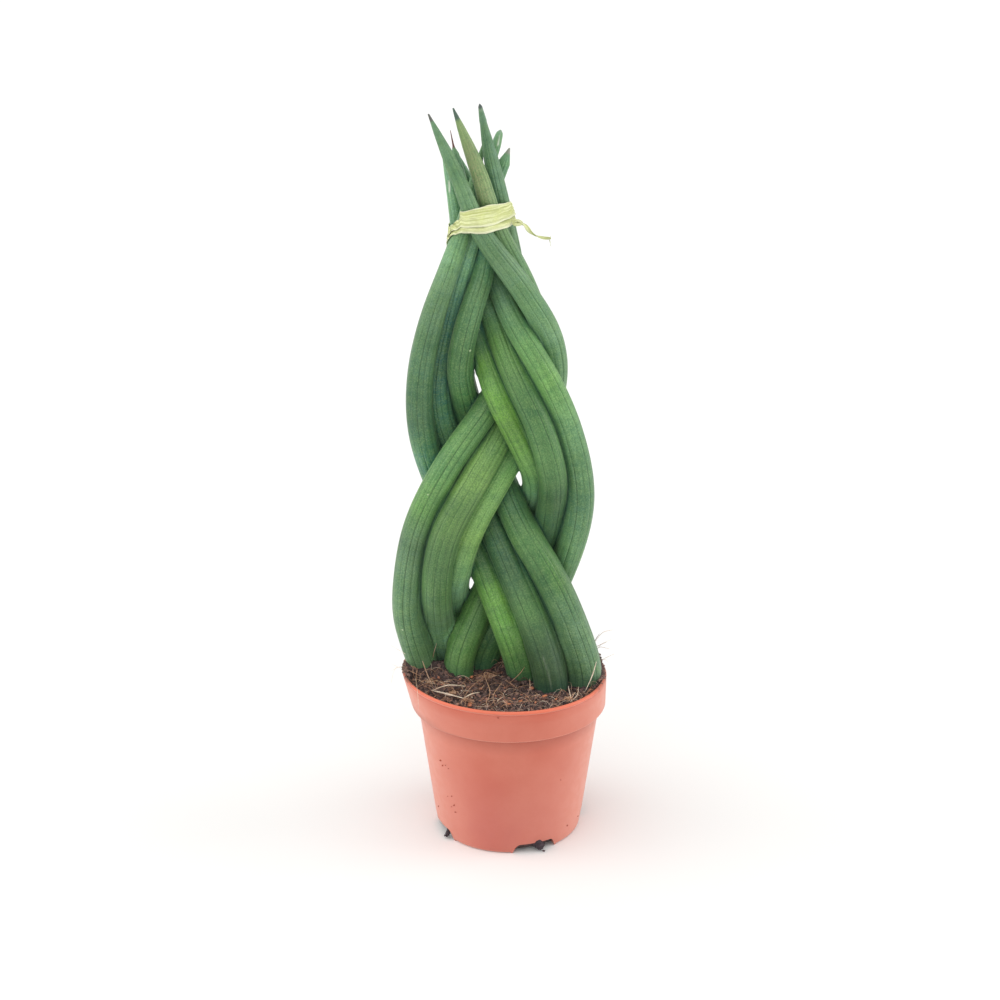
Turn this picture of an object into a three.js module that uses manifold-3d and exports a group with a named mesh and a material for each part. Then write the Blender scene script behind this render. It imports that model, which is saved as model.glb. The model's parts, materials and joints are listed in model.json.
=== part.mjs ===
// A cylindrical snake plant (Dracaena angolensis) in a 12 cm nursery pot: nine leaves in three strands of
// three, plaited one strand over the other and tied with raffia below their tips.
//
// Millimetres, +Z up. The origin is the middle of the pot's foot, on the surface that it stands on, and the
// flat face of the plait looks along -Y.

import * as THREE from "three";
import { mergeVertices } from "three/addons/utils/BufferGeometryUtils.js";
import Module from "manifold-3d";

const wasm = await Module();
wasm.setup();

// ---------------------------------------------------------------- driving dimensions

const CLEARANCE = 0.3; // between pieces that touch on the real plant

// pot
const POT_HEIGHT = 100;
const RIM_RADIUS = 60;
const BAND_HEIGHT = 21;
const BAND_FOOT_RADIUS = 57.2;
const SHOULDER_RADIUS = 53.4; // wall just under the band
const FOOT_RADIUS = 42.6;
const FOOT_CORNER = 2;
const POT_WALL = 1.2;
const POT_SIDES = 64;
const LIP_THICKNESS = 1.8;
const LIP_HEIGHT = 2.2;
const RIM_PUSH = -2.8; // the crowded leaves push the soft rim towards -X
const RIM_TILT = 1.1; // and the rim is this much lower at +X than in the middle

// drain pockets under the pot's floor, open to the side through a notch in the wall
const POCKET_COUNT = 4;
const POCKET_FIRST_ANGLE = 21.5; // degrees from -Y towards +X
const POCKET_HALF_WIDTH = 13.2;
const POCKET_ROOF_HALF_WIDTH = 9;
const POCKET_HEIGHT = 6;
const POCKET_INNER_RADIUS = 25;
const DRAIN_HOLE_RADIUS = 4;
const DRAIN_HOLE_PLACE = 36; // from the pot's axis

// soil
const SOIL_LEVEL = 95;
const SOIL_BUMP = 1.3;
const SOIL_HEAP = 2; // higher in the middle than at the wall
const SOIL_RINGS = 9;
const SOIL_SEED = 11;
const CHIP_COUNT = 44;
const FIBRE_COUNT = 26;
const FIBRE_THICKNESS = 0.9;
// coir fibres that stick up past the rim, from their rooted end out
const STRAY_FIBRES = [
  [[-50, -14, 92], [-55, -17, 101], [-63, -21, 107], [-70, -23, 104]],
  [[-44, -27, 92], [-49, -31, 102], [-56, -37, 105], [-61, -41, 102]],
  [[-49, 23, 92], [-52, 24, 104], [-59, 25, 112], [-66, 22, 116]],
  [[40, 23, 92], [44, 26, 106], [50, 30, 115], [57, 34, 119]],
  [[47, 7, 92], [50, 9, 106], [55, 12, 115], [60, 15, 122]],
  [[47, -16, 92], [50, -18, 103], [56, -22, 107], [63, -26, 104]],
  [[-6, -46, 92], [-9, -44, 104], [-14, -41, 107]],
  [[33, -36, 92], [36, -38, 103], [41, -36, 108]],
];
// root ends that have grown out through a drain hole: which pocket, and how far they lean to its side
const ROOT_ENDS = [{ pocket: 0, lean: 1.6, thickness: 6.6 }, { pocket: 3, lean: 5.5, thickness: 5.4 }];

// leaves
const LEAF_SIDES = 10;
const LEAF_STEPS = 38;
const TIP_THICKNESS = 0.9;
// [distance from the tip, thickness there]: a long taper, then a nearly even rod that swells to its base
const GIRTH = [[0, TIP_THICKNESS], [15, 5.2], [30, 8.0], [50, 9.8], [70, 11.2], [100, 13.2], [150, 14.6],
  [220, 15.8], [300, 16.5], [380, 17.4]];

// Each leaf's thickness against that, at its tip and at its base, and its middle line from its buried base
// up. Strand a starts at the left of the pot, b at the right and c between them. Each strand swings to the far
// side, over one strand and under the next, and back.
const LEAVES = {
  leaf_a_1: {
    girth: [1, 1.04],
    route: [
      [-43, 9, 84], [-48, 11, 98], [-54, 7, 124], [-56.6, -2, 151], [-52.2, -9, 192], [-36, -11, 230],
      [-14, 3, 260], [3, 13, 293], [0, 6, 331], [-8.5, 2, 372], [-10.8, -2, 396], [-16, -6, 437],
    ],
  },
  leaf_a_2: {
    girth: [1, 1.05],
    route: [
      [-34, 23, 80], [-37, 26, 98], [-42, 17, 122], [-43, 0, 150], [-37, -10, 192], [-18, -10, 229],
      [2, 8, 259], [16, 11, 293], [7, -2, 333], [-9, -9, 372], [-15, -11, 396], [-30, -12, 436],
    ],
  },
  leaf_a_3: {
    girth: [0.93, 1.17],
    route: [
      [-20.5, 31.6, 80], [-24.4, 33.4, 102], [-29.4, 20, 126], [-28.2, -3, 160], [-21, -10, 192], [-1, -4, 226],
      [20, 10, 258], [24, 0, 297], [8, -11, 336], [-16, -17, 372], [-26, -16, 396], [-43, -17, 434],
    ],
  },
  leaf_b_1: {
    girth: [1, 1.08],
    route: [
      [11, 0, 80], [8, -4, 101], [-4, -5, 137], [-20, 8, 172], [-37, 11, 209], [-49, -1, 250],
      [-49, -8, 288], [-41, -11, 324], [-30.3, -8, 352], [-22, -4, 374], [-14, 2, 414],
    ],
  },
  leaf_b_2: {
    girth: [1, 1.17],
    route: [
      [26, -8, 80], [25, -11, 101], [13, -8, 141], [-3, 3, 173], [-21, 12, 208], [-36, 4, 248],
      [-38, 1, 285], [-31, -1, 321], [-23, 0, 350], [-16, 1, 374], [-4.8, 6, 420],
    ],
  },
  leaf_b_3: {
    girth: [1, 1.21],
    route: [
      [41, -6, 83], [43, -7, 102], [32.4, -9, 142], [16, 0, 177], [-1, 10, 209], [-20, 4, 248],
      [-27, -8, 288], [-22, -12, 324], [-14, -2, 348], [-10, 10, 374], [0, 8, 409.5],
    ],
  },
  leaf_c_1: {
    girth: [0.95, 1.04],
    route: [
      [-28, 1, 80], [-30, 1, 103], [-16, 7, 140], [4, 8, 179], [12, -1, 213], [5.4, -10, 247],
      [-6, -11, 276], [-20, 6, 310], [-26, 7, 347], [-29.5, 3, 374], [-36, 2, 407],
    ],
  },
  leaf_c_2: {
    girth: [1, 1.06],
    route: [
      [-17, 15, 80], [-14, 15, 103], [3, 13, 138], [20, 6, 179], [24, -5, 221], [16, -12, 257],
      [2, -11, 286], [-15, 9, 325], [-23, 12, 355], [-24, 11, 374], [-32, 9, 419],
    ],
  },
  leaf_c_3: {
    girth: [1, 1],
    route: [
      [13, 20, 80], [14, 20, 101], [23, 13, 138], [35, 4, 180], [39, -6, 221], [32, -11, 257],
      [20, -12, 286], [5, -1, 312], [-9, 12, 345], [-17, 17, 374], [-30, 12, 408],
    ],
  },
};

// raffia tie: one broad turn round the bundle, with a knot and a short tail at its right
const TIE_CENTRE = new THREE.Vector3(-16.5, -1, 368);
const TIE_REACH = 26; // above and below its middle, where the raffia draws the leaves together
const TIE_PULL = 0.1;
const TIE_SIDES = 40;
// [direction in degrees from +X, height of its lower edge, of its upper edge]: level in front, low on the left
const TIE_EDGES = [[-180, 356.9, 368], [-150, 363, 371.5], [-130, 368, 375.5], [-117, 369.6, 382],
  [-95, 370.6, 384], [-70, 370.8, 384.6], [-15, 370, 382.8], [30, 368.6, 380.4], [90, 362.6, 373.8],
  [140, 358, 369], [180, 356.9, 368]];
const TIE_FOLDS = [0, 0.35, 0.62, 1]; // shares of its width where its edges and its two layers' crease lie
const TIE_THICKNESS = [0.7, 0.9, 1.1, 0.7];
const TIE_CLEARANCE = 0.35;
const KNOT_RADIUS = 2.6;
const TAIL_ROUTE = [[3.6, -3.8, 371.8], [8.5, -5, 370], [12.5, -6, 366.4], [17, -7, 364], [22.5, -8, 363.5]];
const TAIL_WIDTH = 2.2;

// settling of the leaves against each other
const SETTLE_POINTS = 64;
const SETTLE_ROUNDS = 260;
const SETTLE_GAP = 0.4;
const SETTLE_STIFFNESS = 0.35;
const SETTLE_PULL = new THREE.Vector3(0.12, 0.004, 0.12); // back towards the route, most of all sideways
const SETTLE_EASE = new THREE.Vector3(0.25, 1, 0.2); // leaves give way in depth sooner than sideways
const SETTLE_EASE_TIED = new THREE.Vector3(0.6, 1, 0.1); // and all round where they are bundled

// ---------------------------------------------------------------- materials

// colour and roughness of each finish
const FINISHES = {
  pot: [0xd9826b, 0.45],
  soil: [0x4a2f24, 0.95],
  leaf: [0x4f7d45, 0.5],
  brightLeaf: [0x5f9440, 0.5],
  raffia: [0xd3dc92, 0.7],
};
const BRIGHT_LEAVES = ["leaf_b_1", "leaf_c_1"]; // younger, yellower green

// ---------------------------------------------------------------- helpers

const radians = THREE.MathUtils.degToRad;

/** A repeatable stream of numbers from 0 to 1. */
function randomStream(seed) {
  let state = seed;
  return () => {
    state = (state * 1664525 + 1013904223) % 4294967296;
    return state / 4294967296;
  };
}

/** A closed geometry as a manifold solid. */
function toSolid(geometry) {
  const bare = geometry.clone();
  bare.deleteAttribute("normal");
  bare.deleteAttribute("uv");
  const merged = mergeVertices(bare, 1e-4);
  const index = merged.index.array;
  const triangles = [];
  for (let i = 0; i < index.length; i += 3) {
    const [a, b, c] = [index[i], index[i + 1], index[i + 2]];
    if (a !== b && b !== c && c !== a) triangles.push(a, b, c);
  }
  const vertProperties = Float32Array.from(merged.attributes.position.array);
  const triVerts = Uint32Array.from(triangles);
  return new wasm.Manifold(new wasm.Mesh({ numProp: 3, vertProperties, triVerts }));
}

/** A manifold solid's largest body as a geometry. */
function toGeometry(solid) {
  const bodies = solid.decompose().sort((a, b) => b.volume() - a.volume());
  const mesh = bodies[0].getMesh();
  const geometry = new THREE.BufferGeometry();
  geometry.setAttribute("position", new THREE.BufferAttribute(Float32Array.from(mesh.vertProperties), 3));
  geometry.setIndex(Array.from(mesh.triVerts));
  geometry.computeVertexNormals();
  return geometry;
}

/** A round bar bent along a curve, closed at both ends; radiusAt(t) gives its radius from 0 to 1. */
function bentBar(curve, radiusAt, sides, steps) {
  const geometry = new THREE.CylinderGeometry(1, 1, 1, sides, steps);
  const frames = curve.computeFrenetFrames(steps);
  const centres = curve.getSpacedPoints(steps);
  const position = geometry.attributes.position;
  const place = new THREE.Vector3();
  for (let i = 0; i < position.count; i += 1) {
    const step = Math.round((position.getY(i) + 0.5) * steps);
    const radius = radiusAt(step / steps);
    place.copy(centres[step]);
    place.addScaledVector(frames.normals[step], radius * position.getX(i));
    place.addScaledVector(frames.binormals[step], -radius * position.getZ(i));
    position.setXYZ(i, place.x, place.y, place.z);
  }
  geometry.computeVertexNormals();
  return geometry;
}

/** A solid turned round Z from a list of [radius, height] points. */
function turned(profile, sides) {
  const geometry = new THREE.LatheGeometry(profile.map(([r, z]) => new THREE.Vector2(r, z)), sides);
  return geometry.rotateX(Math.PI / 2);
}

/** Moves every vertex of a geometry by a function that edits a Vector3. */
function reshape(geometry, edit) {
  const position = geometry.attributes.position;
  const point = new THREE.Vector3();
  for (let i = 0; i < position.count; i += 1) {
    point.fromBufferAttribute(position, i);
    edit(point);
    position.setXYZ(i, point.x, point.y, point.z);
  }
  geometry.computeVertexNormals();
  return geometry;
}

// ---------------------------------------------------------------- pot

const BAND_FOOT = POT_HEIGHT - BAND_HEIGHT;

/** The soft rim is pushed to one side and hangs a little lower there. */
function yieldRim(point) {
  const share = THREE.MathUtils.clamp((point.z - BAND_FOOT) / BAND_HEIGHT, 0, 1);
  point.z -= share * RIM_TILT * (point.x / RIM_RADIUS);
  point.x += share * RIM_PUSH;
}

/** The pot's outline: up the outside, over the lip and down the inside. */
function potProfile() {
  const outside = [[0, 0]];
  for (const turn of [-90, -45, 0]) {
    const across = FOOT_RADIUS - FOOT_CORNER + FOOT_CORNER * Math.cos(radians(turn));
    outside.push([across, FOOT_CORNER + FOOT_CORNER * Math.sin(radians(turn))]);
  }
  outside.push([SHOULDER_RADIUS, BAND_FOOT - 0.6], [BAND_FOOT_RADIUS - 0.9, BAND_FOOT + 0.3]);
  outside.push([BAND_FOOT_RADIUS, BAND_FOOT + 1.4], [RIM_RADIUS - 0.7, POT_HEIGHT - LIP_HEIGHT]);
  const lip = [[RIM_RADIUS, POT_HEIGHT - LIP_HEIGHT + 0.6], [RIM_RADIUS, POT_HEIGHT - 0.6],
    [RIM_RADIUS - 0.6, POT_HEIGHT], [RIM_RADIUS - LIP_THICKNESS + 0.4, POT_HEIGHT],
    [RIM_RADIUS - LIP_THICKNESS, POT_HEIGHT - 0.6]];
  return [...outside, ...lip, ...potInside(0).reverse()];
}

/** The inside of the pot from the axis up to just under the lip, drawn in by a gap. */
function potInside(gap) {
  const inset = POT_WALL + gap;
  return [[0, inset], [FOOT_RADIUS - FOOT_CORNER, inset], [FOOT_RADIUS - inset, FOOT_CORNER + inset / 2],
    [SHOULDER_RADIUS - inset, BAND_FOOT], [BAND_FOOT_RADIUS - inset - 0.6, BAND_FOOT + 1.6 + gap],
    [RIM_RADIUS - 0.7 - inset, POT_HEIGHT - LIP_HEIGHT]];
}

/** A drain pocket's space, grown by a margin, from its inner end out to a given radius. */
function pocketBlock(angle, margin, reach) {
  const foot = POCKET_HALF_WIDTH + margin;
  const roof = POCKET_ROOF_HALF_WIDTH + margin;
  const top = POCKET_HEIGHT + margin;
  const shape = new THREE.Shape();
  shape.moveTo(-foot, -1);
  shape.lineTo(-foot, 0);
  shape.quadraticCurveTo(-roof - 3, top, -roof, top);
  shape.lineTo(roof, top);
  shape.quadraticCurveTo(roof + 3, top, foot, 0);
  shape.lineTo(foot, -1);
  const start = POCKET_INNER_RADIUS - margin;
  const options = { depth: reach - start, bevelEnabled: false, curveSegments: 4 };
  const geometry = new THREE.ExtrudeGeometry(shape, options);
  geometry.rotateX(Math.PI / 2); // the outline's height turns to +Z and its depth to -Y
  geometry.translate(0, -start, 0);
  return toSolid(geometry.rotateZ(radians(angle)));
}

/** The angles of the drain pockets, from -Y towards +X. */
function pocketAngles() {
  return Array.from({ length: POCKET_COUNT }, (_, i) => POCKET_FIRST_ANGLE + (i * 360) / POCKET_COUNT);
}

function makePot() {
  let pot = toSolid(reshape(turned(potProfile(), POT_SIDES), yieldRim));
  const inside = toSolid(turned([[0, 0], [FOOT_RADIUS - 0.5, 0], [FOOT_RADIUS + 0.6, 10], [0, 10]], POT_SIDES));
  for (const angle of pocketAngles()) {
    pot = pot.add(pocketBlock(angle, POT_WALL, FOOT_RADIUS + 8).intersect(inside));
  }
  for (const angle of pocketAngles()) {
    const hole = new THREE.CylinderGeometry(DRAIN_HOLE_RADIUS, DRAIN_HOLE_RADIUS, 8, 14);
    hole.rotateX(Math.PI / 2);
    hole.translate(0, -DRAIN_HOLE_PLACE, POCKET_HEIGHT);
    pot = pot.subtract(pocketBlock(angle, 0, FOOT_RADIUS + 8));
    pot = pot.subtract(toSolid(hole.rotateZ(radians(angle))));
  }
  return toGeometry(pot);
}

// ---------------------------------------------------------------- leaves

/** A leaf's radius at a distance from its tip, where share says how far up the leaf that is, from 0 to 1. */
function leafRadius(fromTip, share, [atTip, atBase]) {
  const last = GIRTH.length - 1;
  let i = 0;
  while (i < last - 1 && fromTip > GIRTH[i + 1][0]) i += 1;
  const [start, from] = GIRTH[i];
  const [end, to] = GIRTH[i + 1];
  const along = THREE.MathUtils.clamp((fromTip - start) / (end - start), 0, 1);
  const girth = THREE.MathUtils.lerp(atBase, atTip, share);
  return (girth * THREE.MathUtils.lerp(from, to, along)) / 2;
}

/** A leaf's route as evenly spaced points, each with the leaf's radius there. */
function layLeaf([name, { girth, route }]) {
  const places = route.map((point) => new THREE.Vector3(...point));
  const curve = new THREE.CatmullRomCurve3(places, false, "centripetal");
  const length = curve.getLength();
  const home = curve.getSpacedPoints(SETTLE_POINTS - 1);
  const radii = home.map((_, i) => {
    const share = i / (SETTLE_POINTS - 1);
    return leafRadius(length * (1 - share), share, girth);
  });
  return { name, girth, home, radii, points: home.map((point) => point.clone()) };
}

/** How near a height is to the tie, from 0 to 1. */
function tiedShare(height) {
  return THREE.MathUtils.smoothstep(TIE_REACH - Math.abs(height - TIE_CENTRE.z), 0, TIE_REACH);
}

/** How readily a leaf gives way along each axis at a height. */
function easeAt(height) {
  return SETTLE_EASE.clone().lerp(SETTLE_EASE_TIED, tiedShare(height));
}

/** The raffia draws the leaves together. */
function drawTogether(leaf, share) {
  for (const point of leaf.points) {
    const pull = TIE_PULL * share * tiedShare(point.z);
    point.x += (TIE_CENTRE.x - point.x) * pull;
    point.y += (TIE_CENTRE.y - point.y) * pull;
  }
}

/** Pushes two leaves apart wherever they are nearer than their radii and the gap. */
function pushApart(one, other) {
  const line = new THREE.Line3();
  const near = new THREE.Vector3();
  const away = new THREE.Vector3();
  for (let i = 0; i < one.points.length; i += 1) {
    const point = one.points[i];
    for (let k = 0; k < other.points.length - 1; k += 1) {
      const need = one.radii[i] + other.radii[k] + SETTLE_GAP;
      if (Math.abs(point.z - other.points[k].z) > need + 8) continue;
      line.set(other.points[k], other.points[k + 1]);
      const share = line.closestPointToPointParameter(point, true);
      line.at(share, near);
      away.subVectors(point, near);
      const distance = away.length();
      if (distance >= need || distance === 0) continue;
      away.divideScalar(distance);
      const eased = away.clone().multiply(easeAt(point.z));
      eased.multiplyScalar((0.5 * (need - distance)) / eased.dot(away));
      point.add(eased);
      other.points[k].addScaledVector(eased, share - 1);
      other.points[k + 1].addScaledVector(eased, -share);
    }
  }
}

/** Evens out how far a leaf has moved from its route, and draws it back by a share of the pull. */
function spring(leaf, share) {
  const moved = leaf.points.map((point, i) => point.clone().sub(leaf.home[i]));
  const keep = new THREE.Vector3(1, 1, 1).addScaledVector(SETTLE_PULL, -share);
  for (let i = 1; i < moved.length - 1; i += 1) {
    const mean = moved[i - 1].clone().add(moved[i + 1]).multiplyScalar(0.5);
    const even = moved[i].clone().lerp(mean, SETTLE_STIFFNESS).multiply(keep);
    leaf.points[i].copy(leaf.home[i]).add(even);
  }
}

/** Lets the leaves lean on each other until none crosses its neighbour. */
function settle(leaves) {
  for (let round = 0; round < SETTLE_ROUNDS; round += 1) {
    const share = Math.max(0, 1 - (1.2 * round) / SETTLE_ROUNDS);
    for (const leaf of leaves) drawTogether(leaf, share);
    for (const one of leaves) {
      for (const other of leaves) {
        if (one !== other) pushApart(one, other);
      }
    }
    for (const leaf of leaves) spring(leaf, share);
  }
  for (let round = 0; round < 12; round += 1) {
    for (const one of leaves) {
      for (const other of leaves) {
        if (one !== other) pushApart(one, other);
      }
    }
  }
}

/** A settled leaf's solid, thicker all round by a margin. */
function leafGeometry(leaf, margin = 0) {
  const curve = new THREE.CatmullRomCurve3(leaf.points);
  const length = curve.getLength();
  const radiusAt = (t) => leafRadius(length * (1 - t), t, leaf.girth) + margin;
  return bentBar(curve, radiusAt, LEAF_SIDES, LEAF_STEPS);
}

const leaves = Object.entries(LEAVES).map(layLeaf);
settle(leaves);

// ---------------------------------------------------------------- soil

/** How far the soil's surface stands above its level at a place. */
function soilBump(x, y) {
  const heap = SOIL_HEAP * Math.max(0, 1 - Math.hypot(x, y) / RIM_RADIUS);
  const lumps = 0.6 * Math.sin(x / 6 + 1) * Math.cos(y / 7) + 0.4 * Math.sin((x + y) / 3.7);
  return heap + SOIL_BUMP * lumps;
}

/** The potting mix alone: it fills the pot up to its level, where its surface is a lumpy disc. */
function soilBody() {
  const wall = potInside(CLEARANCE);
  const [topRadius, topHeight] = wall.pop();
  const [bandRadius, bandHeight] = wall[wall.length - 1];
  const share = (SOIL_LEVEL - 1 - bandHeight) / (topHeight - bandHeight);
  const edge = THREE.MathUtils.lerp(bandRadius, topRadius, share);
  wall.push([edge, SOIL_LEVEL - 1]);
  for (let ring = SOIL_RINGS - 1; ring >= 0; ring -= 1) wall.push([(edge * ring) / SOIL_RINGS, SOIL_LEVEL]);
  return reshape(turned(wall, POT_SIDES), (point) => {
    if (point.z === SOIL_LEVEL) point.z += soilBump(point.x, point.y);
    yieldRim(point);
  });
}

/** A random place on the soil, no nearer to the rim than a margin. */
function placeOnSoil(random, margin) {
  const across = (RIM_RADIUS - margin) * Math.sqrt(random());
  const angle = random() * 2 * Math.PI;
  return [RIM_PUSH + across * Math.cos(angle), across * Math.sin(angle)];
}

/** A coir chip lying on the soil. */
function chip(random) {
  const size = [2 + 4 * random(), 1.6 + 2 * random(), 1.4 + random()];
  const geometry = new THREE.BoxGeometry(...size);
  geometry.rotateX((random() - 0.5) * 1.2);
  geometry.rotateZ(random() * Math.PI);
  const [x, y] = placeOnSoil(random, 9);
  return geometry.translate(x, y, SOIL_LEVEL + soilBump(x, y) + 0.2);
}

/** A stout coir fibre through a list of points, as a three-sided bar that thins to its ends. */
function fibre(points) {
  const curve = new THREE.CatmullRomCurve3(points);
  const radiusAt = (t) => FIBRE_THICKNESS * (0.4 + 0.25 * Math.sin(Math.PI * t));
  return bentBar(curve, radiusAt, 3, 6);
}

/** A fibre lying over the soil in a low arch, both ends sunk in it. */
function lyingFibre(random) {
  const [middleX, middleY] = placeOnSoil(random, 15);
  const reach = 5 + 6 * random();
  const turn = random() * 2 * Math.PI;
  const rise = 1.5 + 2.5 * random();
  return fibre([-1, -0.4, 0.4, 1].map((along) => {
    const x = middleX + reach * along * Math.cos(turn + 0.4 * along);
    const y = middleY + reach * along * Math.sin(turn + 0.4 * along);
    const height = rise - 2.5 * rise * along * along;
    return new THREE.Vector3(x, y, SOIL_LEVEL + soilBump(x, y) + height);
  }));
}

/** A root end: down through the drain hole of its pocket and out under the notch. */
function rootEnd({ pocket, lean, thickness }) {
  const points = [[0, -DRAIN_HOLE_PLACE, 11], [0, -DRAIN_HOLE_PLACE, 7], [0.3 * lean, -37.6, 3.9],
    [0.7 * lean, -40.2, 3.1], [lean, -42.6, 2.4]];
  const curve = new THREE.CatmullRomCurve3(points.map((point) => new THREE.Vector3(...point)));
  const geometry = bentBar(curve, (t) => (thickness / 2) * (1 - 0.65 * t * t), 7, 8);
  return geometry.rotateZ(radians(pocketAngles()[pocket]));
}

function makeSoil() {
  let soil = toSolid(soilBody());
  for (const angle of pocketAngles()) {
    soil = soil.subtract(pocketBlock(angle, POT_WALL + CLEARANCE, FOOT_RADIUS + 8));
  }
  const random = randomStream(SOIL_SEED);
  const extras = ROOT_ENDS.map(rootEnd);
  for (let i = 0; i < CHIP_COUNT; i += 1) extras.push(chip(random));
  for (let i = 0; i < FIBRE_COUNT; i += 1) extras.push(lyingFibre(random));
  for (const route of STRAY_FIBRES) extras.push(fibre(route.map((point) => new THREE.Vector3(...point))));
  for (const extra of extras) soil = soil.add(toSolid(extra));
  for (const leaf of leaves) soil = soil.subtract(toSolid(leafGeometry(leaf, CLEARANCE)));
  return toGeometry(soil);
}

// ---------------------------------------------------------------- tie

/** Points on the leaves' skins from a little under the tie to a little over it. */
function skinPoints() {
  const points = [];
  const low = Math.min(...TIE_EDGES.map((row) => row[1])) - 6;
  const high = Math.max(...TIE_EDGES.map((row) => row[2])) + 6;
  for (const leaf of leaves) {
    const curve = new THREE.CatmullRomCurve3(leaf.points);
    const length = curve.getLength();
    const radiusAt = (t) => leafRadius(length * (1 - t), t, leaf.girth);
    const position = bentBar(curve, radiusAt, 16, 320).attributes.position;
    for (let i = 0; i < position.count; i += 1) {
      const point = new THREE.Vector3().fromBufferAttribute(position, i);
      if (point.z > low && point.z < high) points.push(point);
    }
  }
  return points;
}

/** The distance from the bundle's middle to a loop drawn tight round it, at an angle and a height. */
function loopRadius(skin, angle, height) {
  const level = skin.filter((point) => Math.abs(point.z - height) < 1.2);
  let radius = Infinity;
  for (let degrees = 0; degrees < 360; degrees += 5) {
    const facing = Math.cos(radians(degrees) - angle);
    if (facing < 0.2) continue;
    const outward = new THREE.Vector2(Math.cos(radians(degrees)), Math.sin(radians(degrees)));
    let reach = 0;
    for (const point of level) {
      const offset = (point.x - TIE_CENTRE.x) * outward.x + (point.y - TIE_CENTRE.y) * outward.y;
      reach = Math.max(reach, offset);
    }
    radius = Math.min(radius, (reach + TIE_CLEARANCE) / facing);
  }
  return radius;
}

/** The height of the tie in a direction, a share of the way from its lower edge to its upper one. */
function tieHeight(angle, share) {
  const degrees = THREE.MathUtils.radToDeg(angle);
  let i = 0;
  while (i < TIE_EDGES.length - 2 && degrees > TIE_EDGES[i + 1][0]) i += 1;
  const [from, fromLow, fromHigh] = TIE_EDGES[i];
  const [to, toLow, toHigh] = TIE_EDGES[i + 1];
  const along = THREE.MathUtils.smoothstep(degrees, from, to);
  const low = THREE.MathUtils.lerp(fromLow, toLow, along);
  return THREE.MathUtils.lerp(low, THREE.MathUtils.lerp(fromHigh, toHigh, along), share);
}

/** The turns of raffia: a closed strap whose inside follows the bundle and whose outside has a crease. */
function strap() {
  const skin = skinPoints();
  const start = 10; // the strap's profile is drawn here, then laid against the bundle
  const inner = TIE_FOLDS.map((share) => [start, share]);
  const outer = TIE_FOLDS.map((share, i) => [start + TIE_THICKNESS[i], share]).reverse();
  const profile = [inner[0], ...outer.reverse(), ...inner.reverse()];
  return reshape(turned(profile, TIE_SIDES), (point) => {
    const angle = Math.atan2(point.y, point.x);
    const proud = Math.hypot(point.x, point.y) - start;
    point.z = tieHeight(angle, point.z);
    const radius = loopRadius(skin, angle, point.z) + proud;
    point.x = TIE_CENTRE.x + radius * Math.cos(angle);
    point.y = TIE_CENTRE.y + radius * Math.sin(angle);
  });
}

/** The frayed end of the raffia, a flat strip that narrows to its end. */
function tail() {
  const curve = new THREE.CatmullRomCurve3(TAIL_ROUTE.map((point) => new THREE.Vector3(...point)));
  const radiusAt = (t) => (TAIL_WIDTH / 2) * (1 - 0.45 * t);
  return bentBar(curve, radiusAt, 5, 10);
}

function makeTie() {
  const knot = new THREE.SphereGeometry(KNOT_RADIUS, 10, 7);
  knot.scale(1.3, 1, 0.9);
  knot.translate(...TAIL_ROUTE[0]);
  let tie = toSolid(strap()).add(toSolid(knot)).add(toSolid(tail()));
  for (const leaf of leaves) tie = tie.subtract(toSolid(leafGeometry(leaf, TIE_CLEARANCE)));
  return toGeometry(tie);
}

// ---------------------------------------------------------------- scene

const plant = new THREE.Group();

function addPiece(name, geometry, finish) {
  const [color, roughness] = FINISHES[finish];
  const mesh = new THREE.Mesh(geometry, new THREE.MeshStandardMaterial({ color, roughness, metalness: 0 }));
  mesh.name = name;
  plant.add(mesh);
}

addPiece("pot", makePot(), "pot");
addPiece("soil", makeSoil(), "soil");
for (const leaf of leaves) {
  addPiece(leaf.name, leafGeometry(leaf), BRIGHT_LEAVES.includes(leaf.name) ? "brightLeaf" : "leaf");
}
addPiece("tie", makeTie(), "raffia");

export default plant;
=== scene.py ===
"""Dresses a plaited cylindrical snake plant in its nursery pot, tied with raffia.

Lengths are in metres, +Z is up, and the flat front of the plait looks along -Y. Sizes given in millimetres
are turned into metres with MM.
"""

from __future__ import annotations

import json
import logging
import math
from collections.abc import Sequence
from dataclasses import dataclass, field
from enum import Enum

import bpy
import numpy as np
from mathutils import Matrix, Vector, noise

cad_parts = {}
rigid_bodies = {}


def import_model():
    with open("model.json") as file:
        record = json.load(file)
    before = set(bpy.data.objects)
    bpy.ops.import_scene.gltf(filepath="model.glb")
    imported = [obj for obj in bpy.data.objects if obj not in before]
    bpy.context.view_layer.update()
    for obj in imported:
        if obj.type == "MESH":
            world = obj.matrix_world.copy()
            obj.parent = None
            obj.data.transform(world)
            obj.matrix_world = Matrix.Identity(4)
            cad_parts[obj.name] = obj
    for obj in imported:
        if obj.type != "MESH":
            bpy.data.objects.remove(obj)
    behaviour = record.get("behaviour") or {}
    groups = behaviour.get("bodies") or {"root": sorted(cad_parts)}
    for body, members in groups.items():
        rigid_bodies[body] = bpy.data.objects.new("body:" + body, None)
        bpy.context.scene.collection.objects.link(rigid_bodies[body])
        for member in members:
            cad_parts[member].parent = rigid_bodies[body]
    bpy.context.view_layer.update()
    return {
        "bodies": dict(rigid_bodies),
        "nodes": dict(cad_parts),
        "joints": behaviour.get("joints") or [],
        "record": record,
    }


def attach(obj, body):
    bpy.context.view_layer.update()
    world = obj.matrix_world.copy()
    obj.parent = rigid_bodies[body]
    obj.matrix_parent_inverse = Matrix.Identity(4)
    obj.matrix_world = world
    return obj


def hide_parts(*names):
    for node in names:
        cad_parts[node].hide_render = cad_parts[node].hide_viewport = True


MM = 0.001
BODY = "root"
SOIL_TOP = 0.096
log = logging.getLogger("snake_plant")

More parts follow.
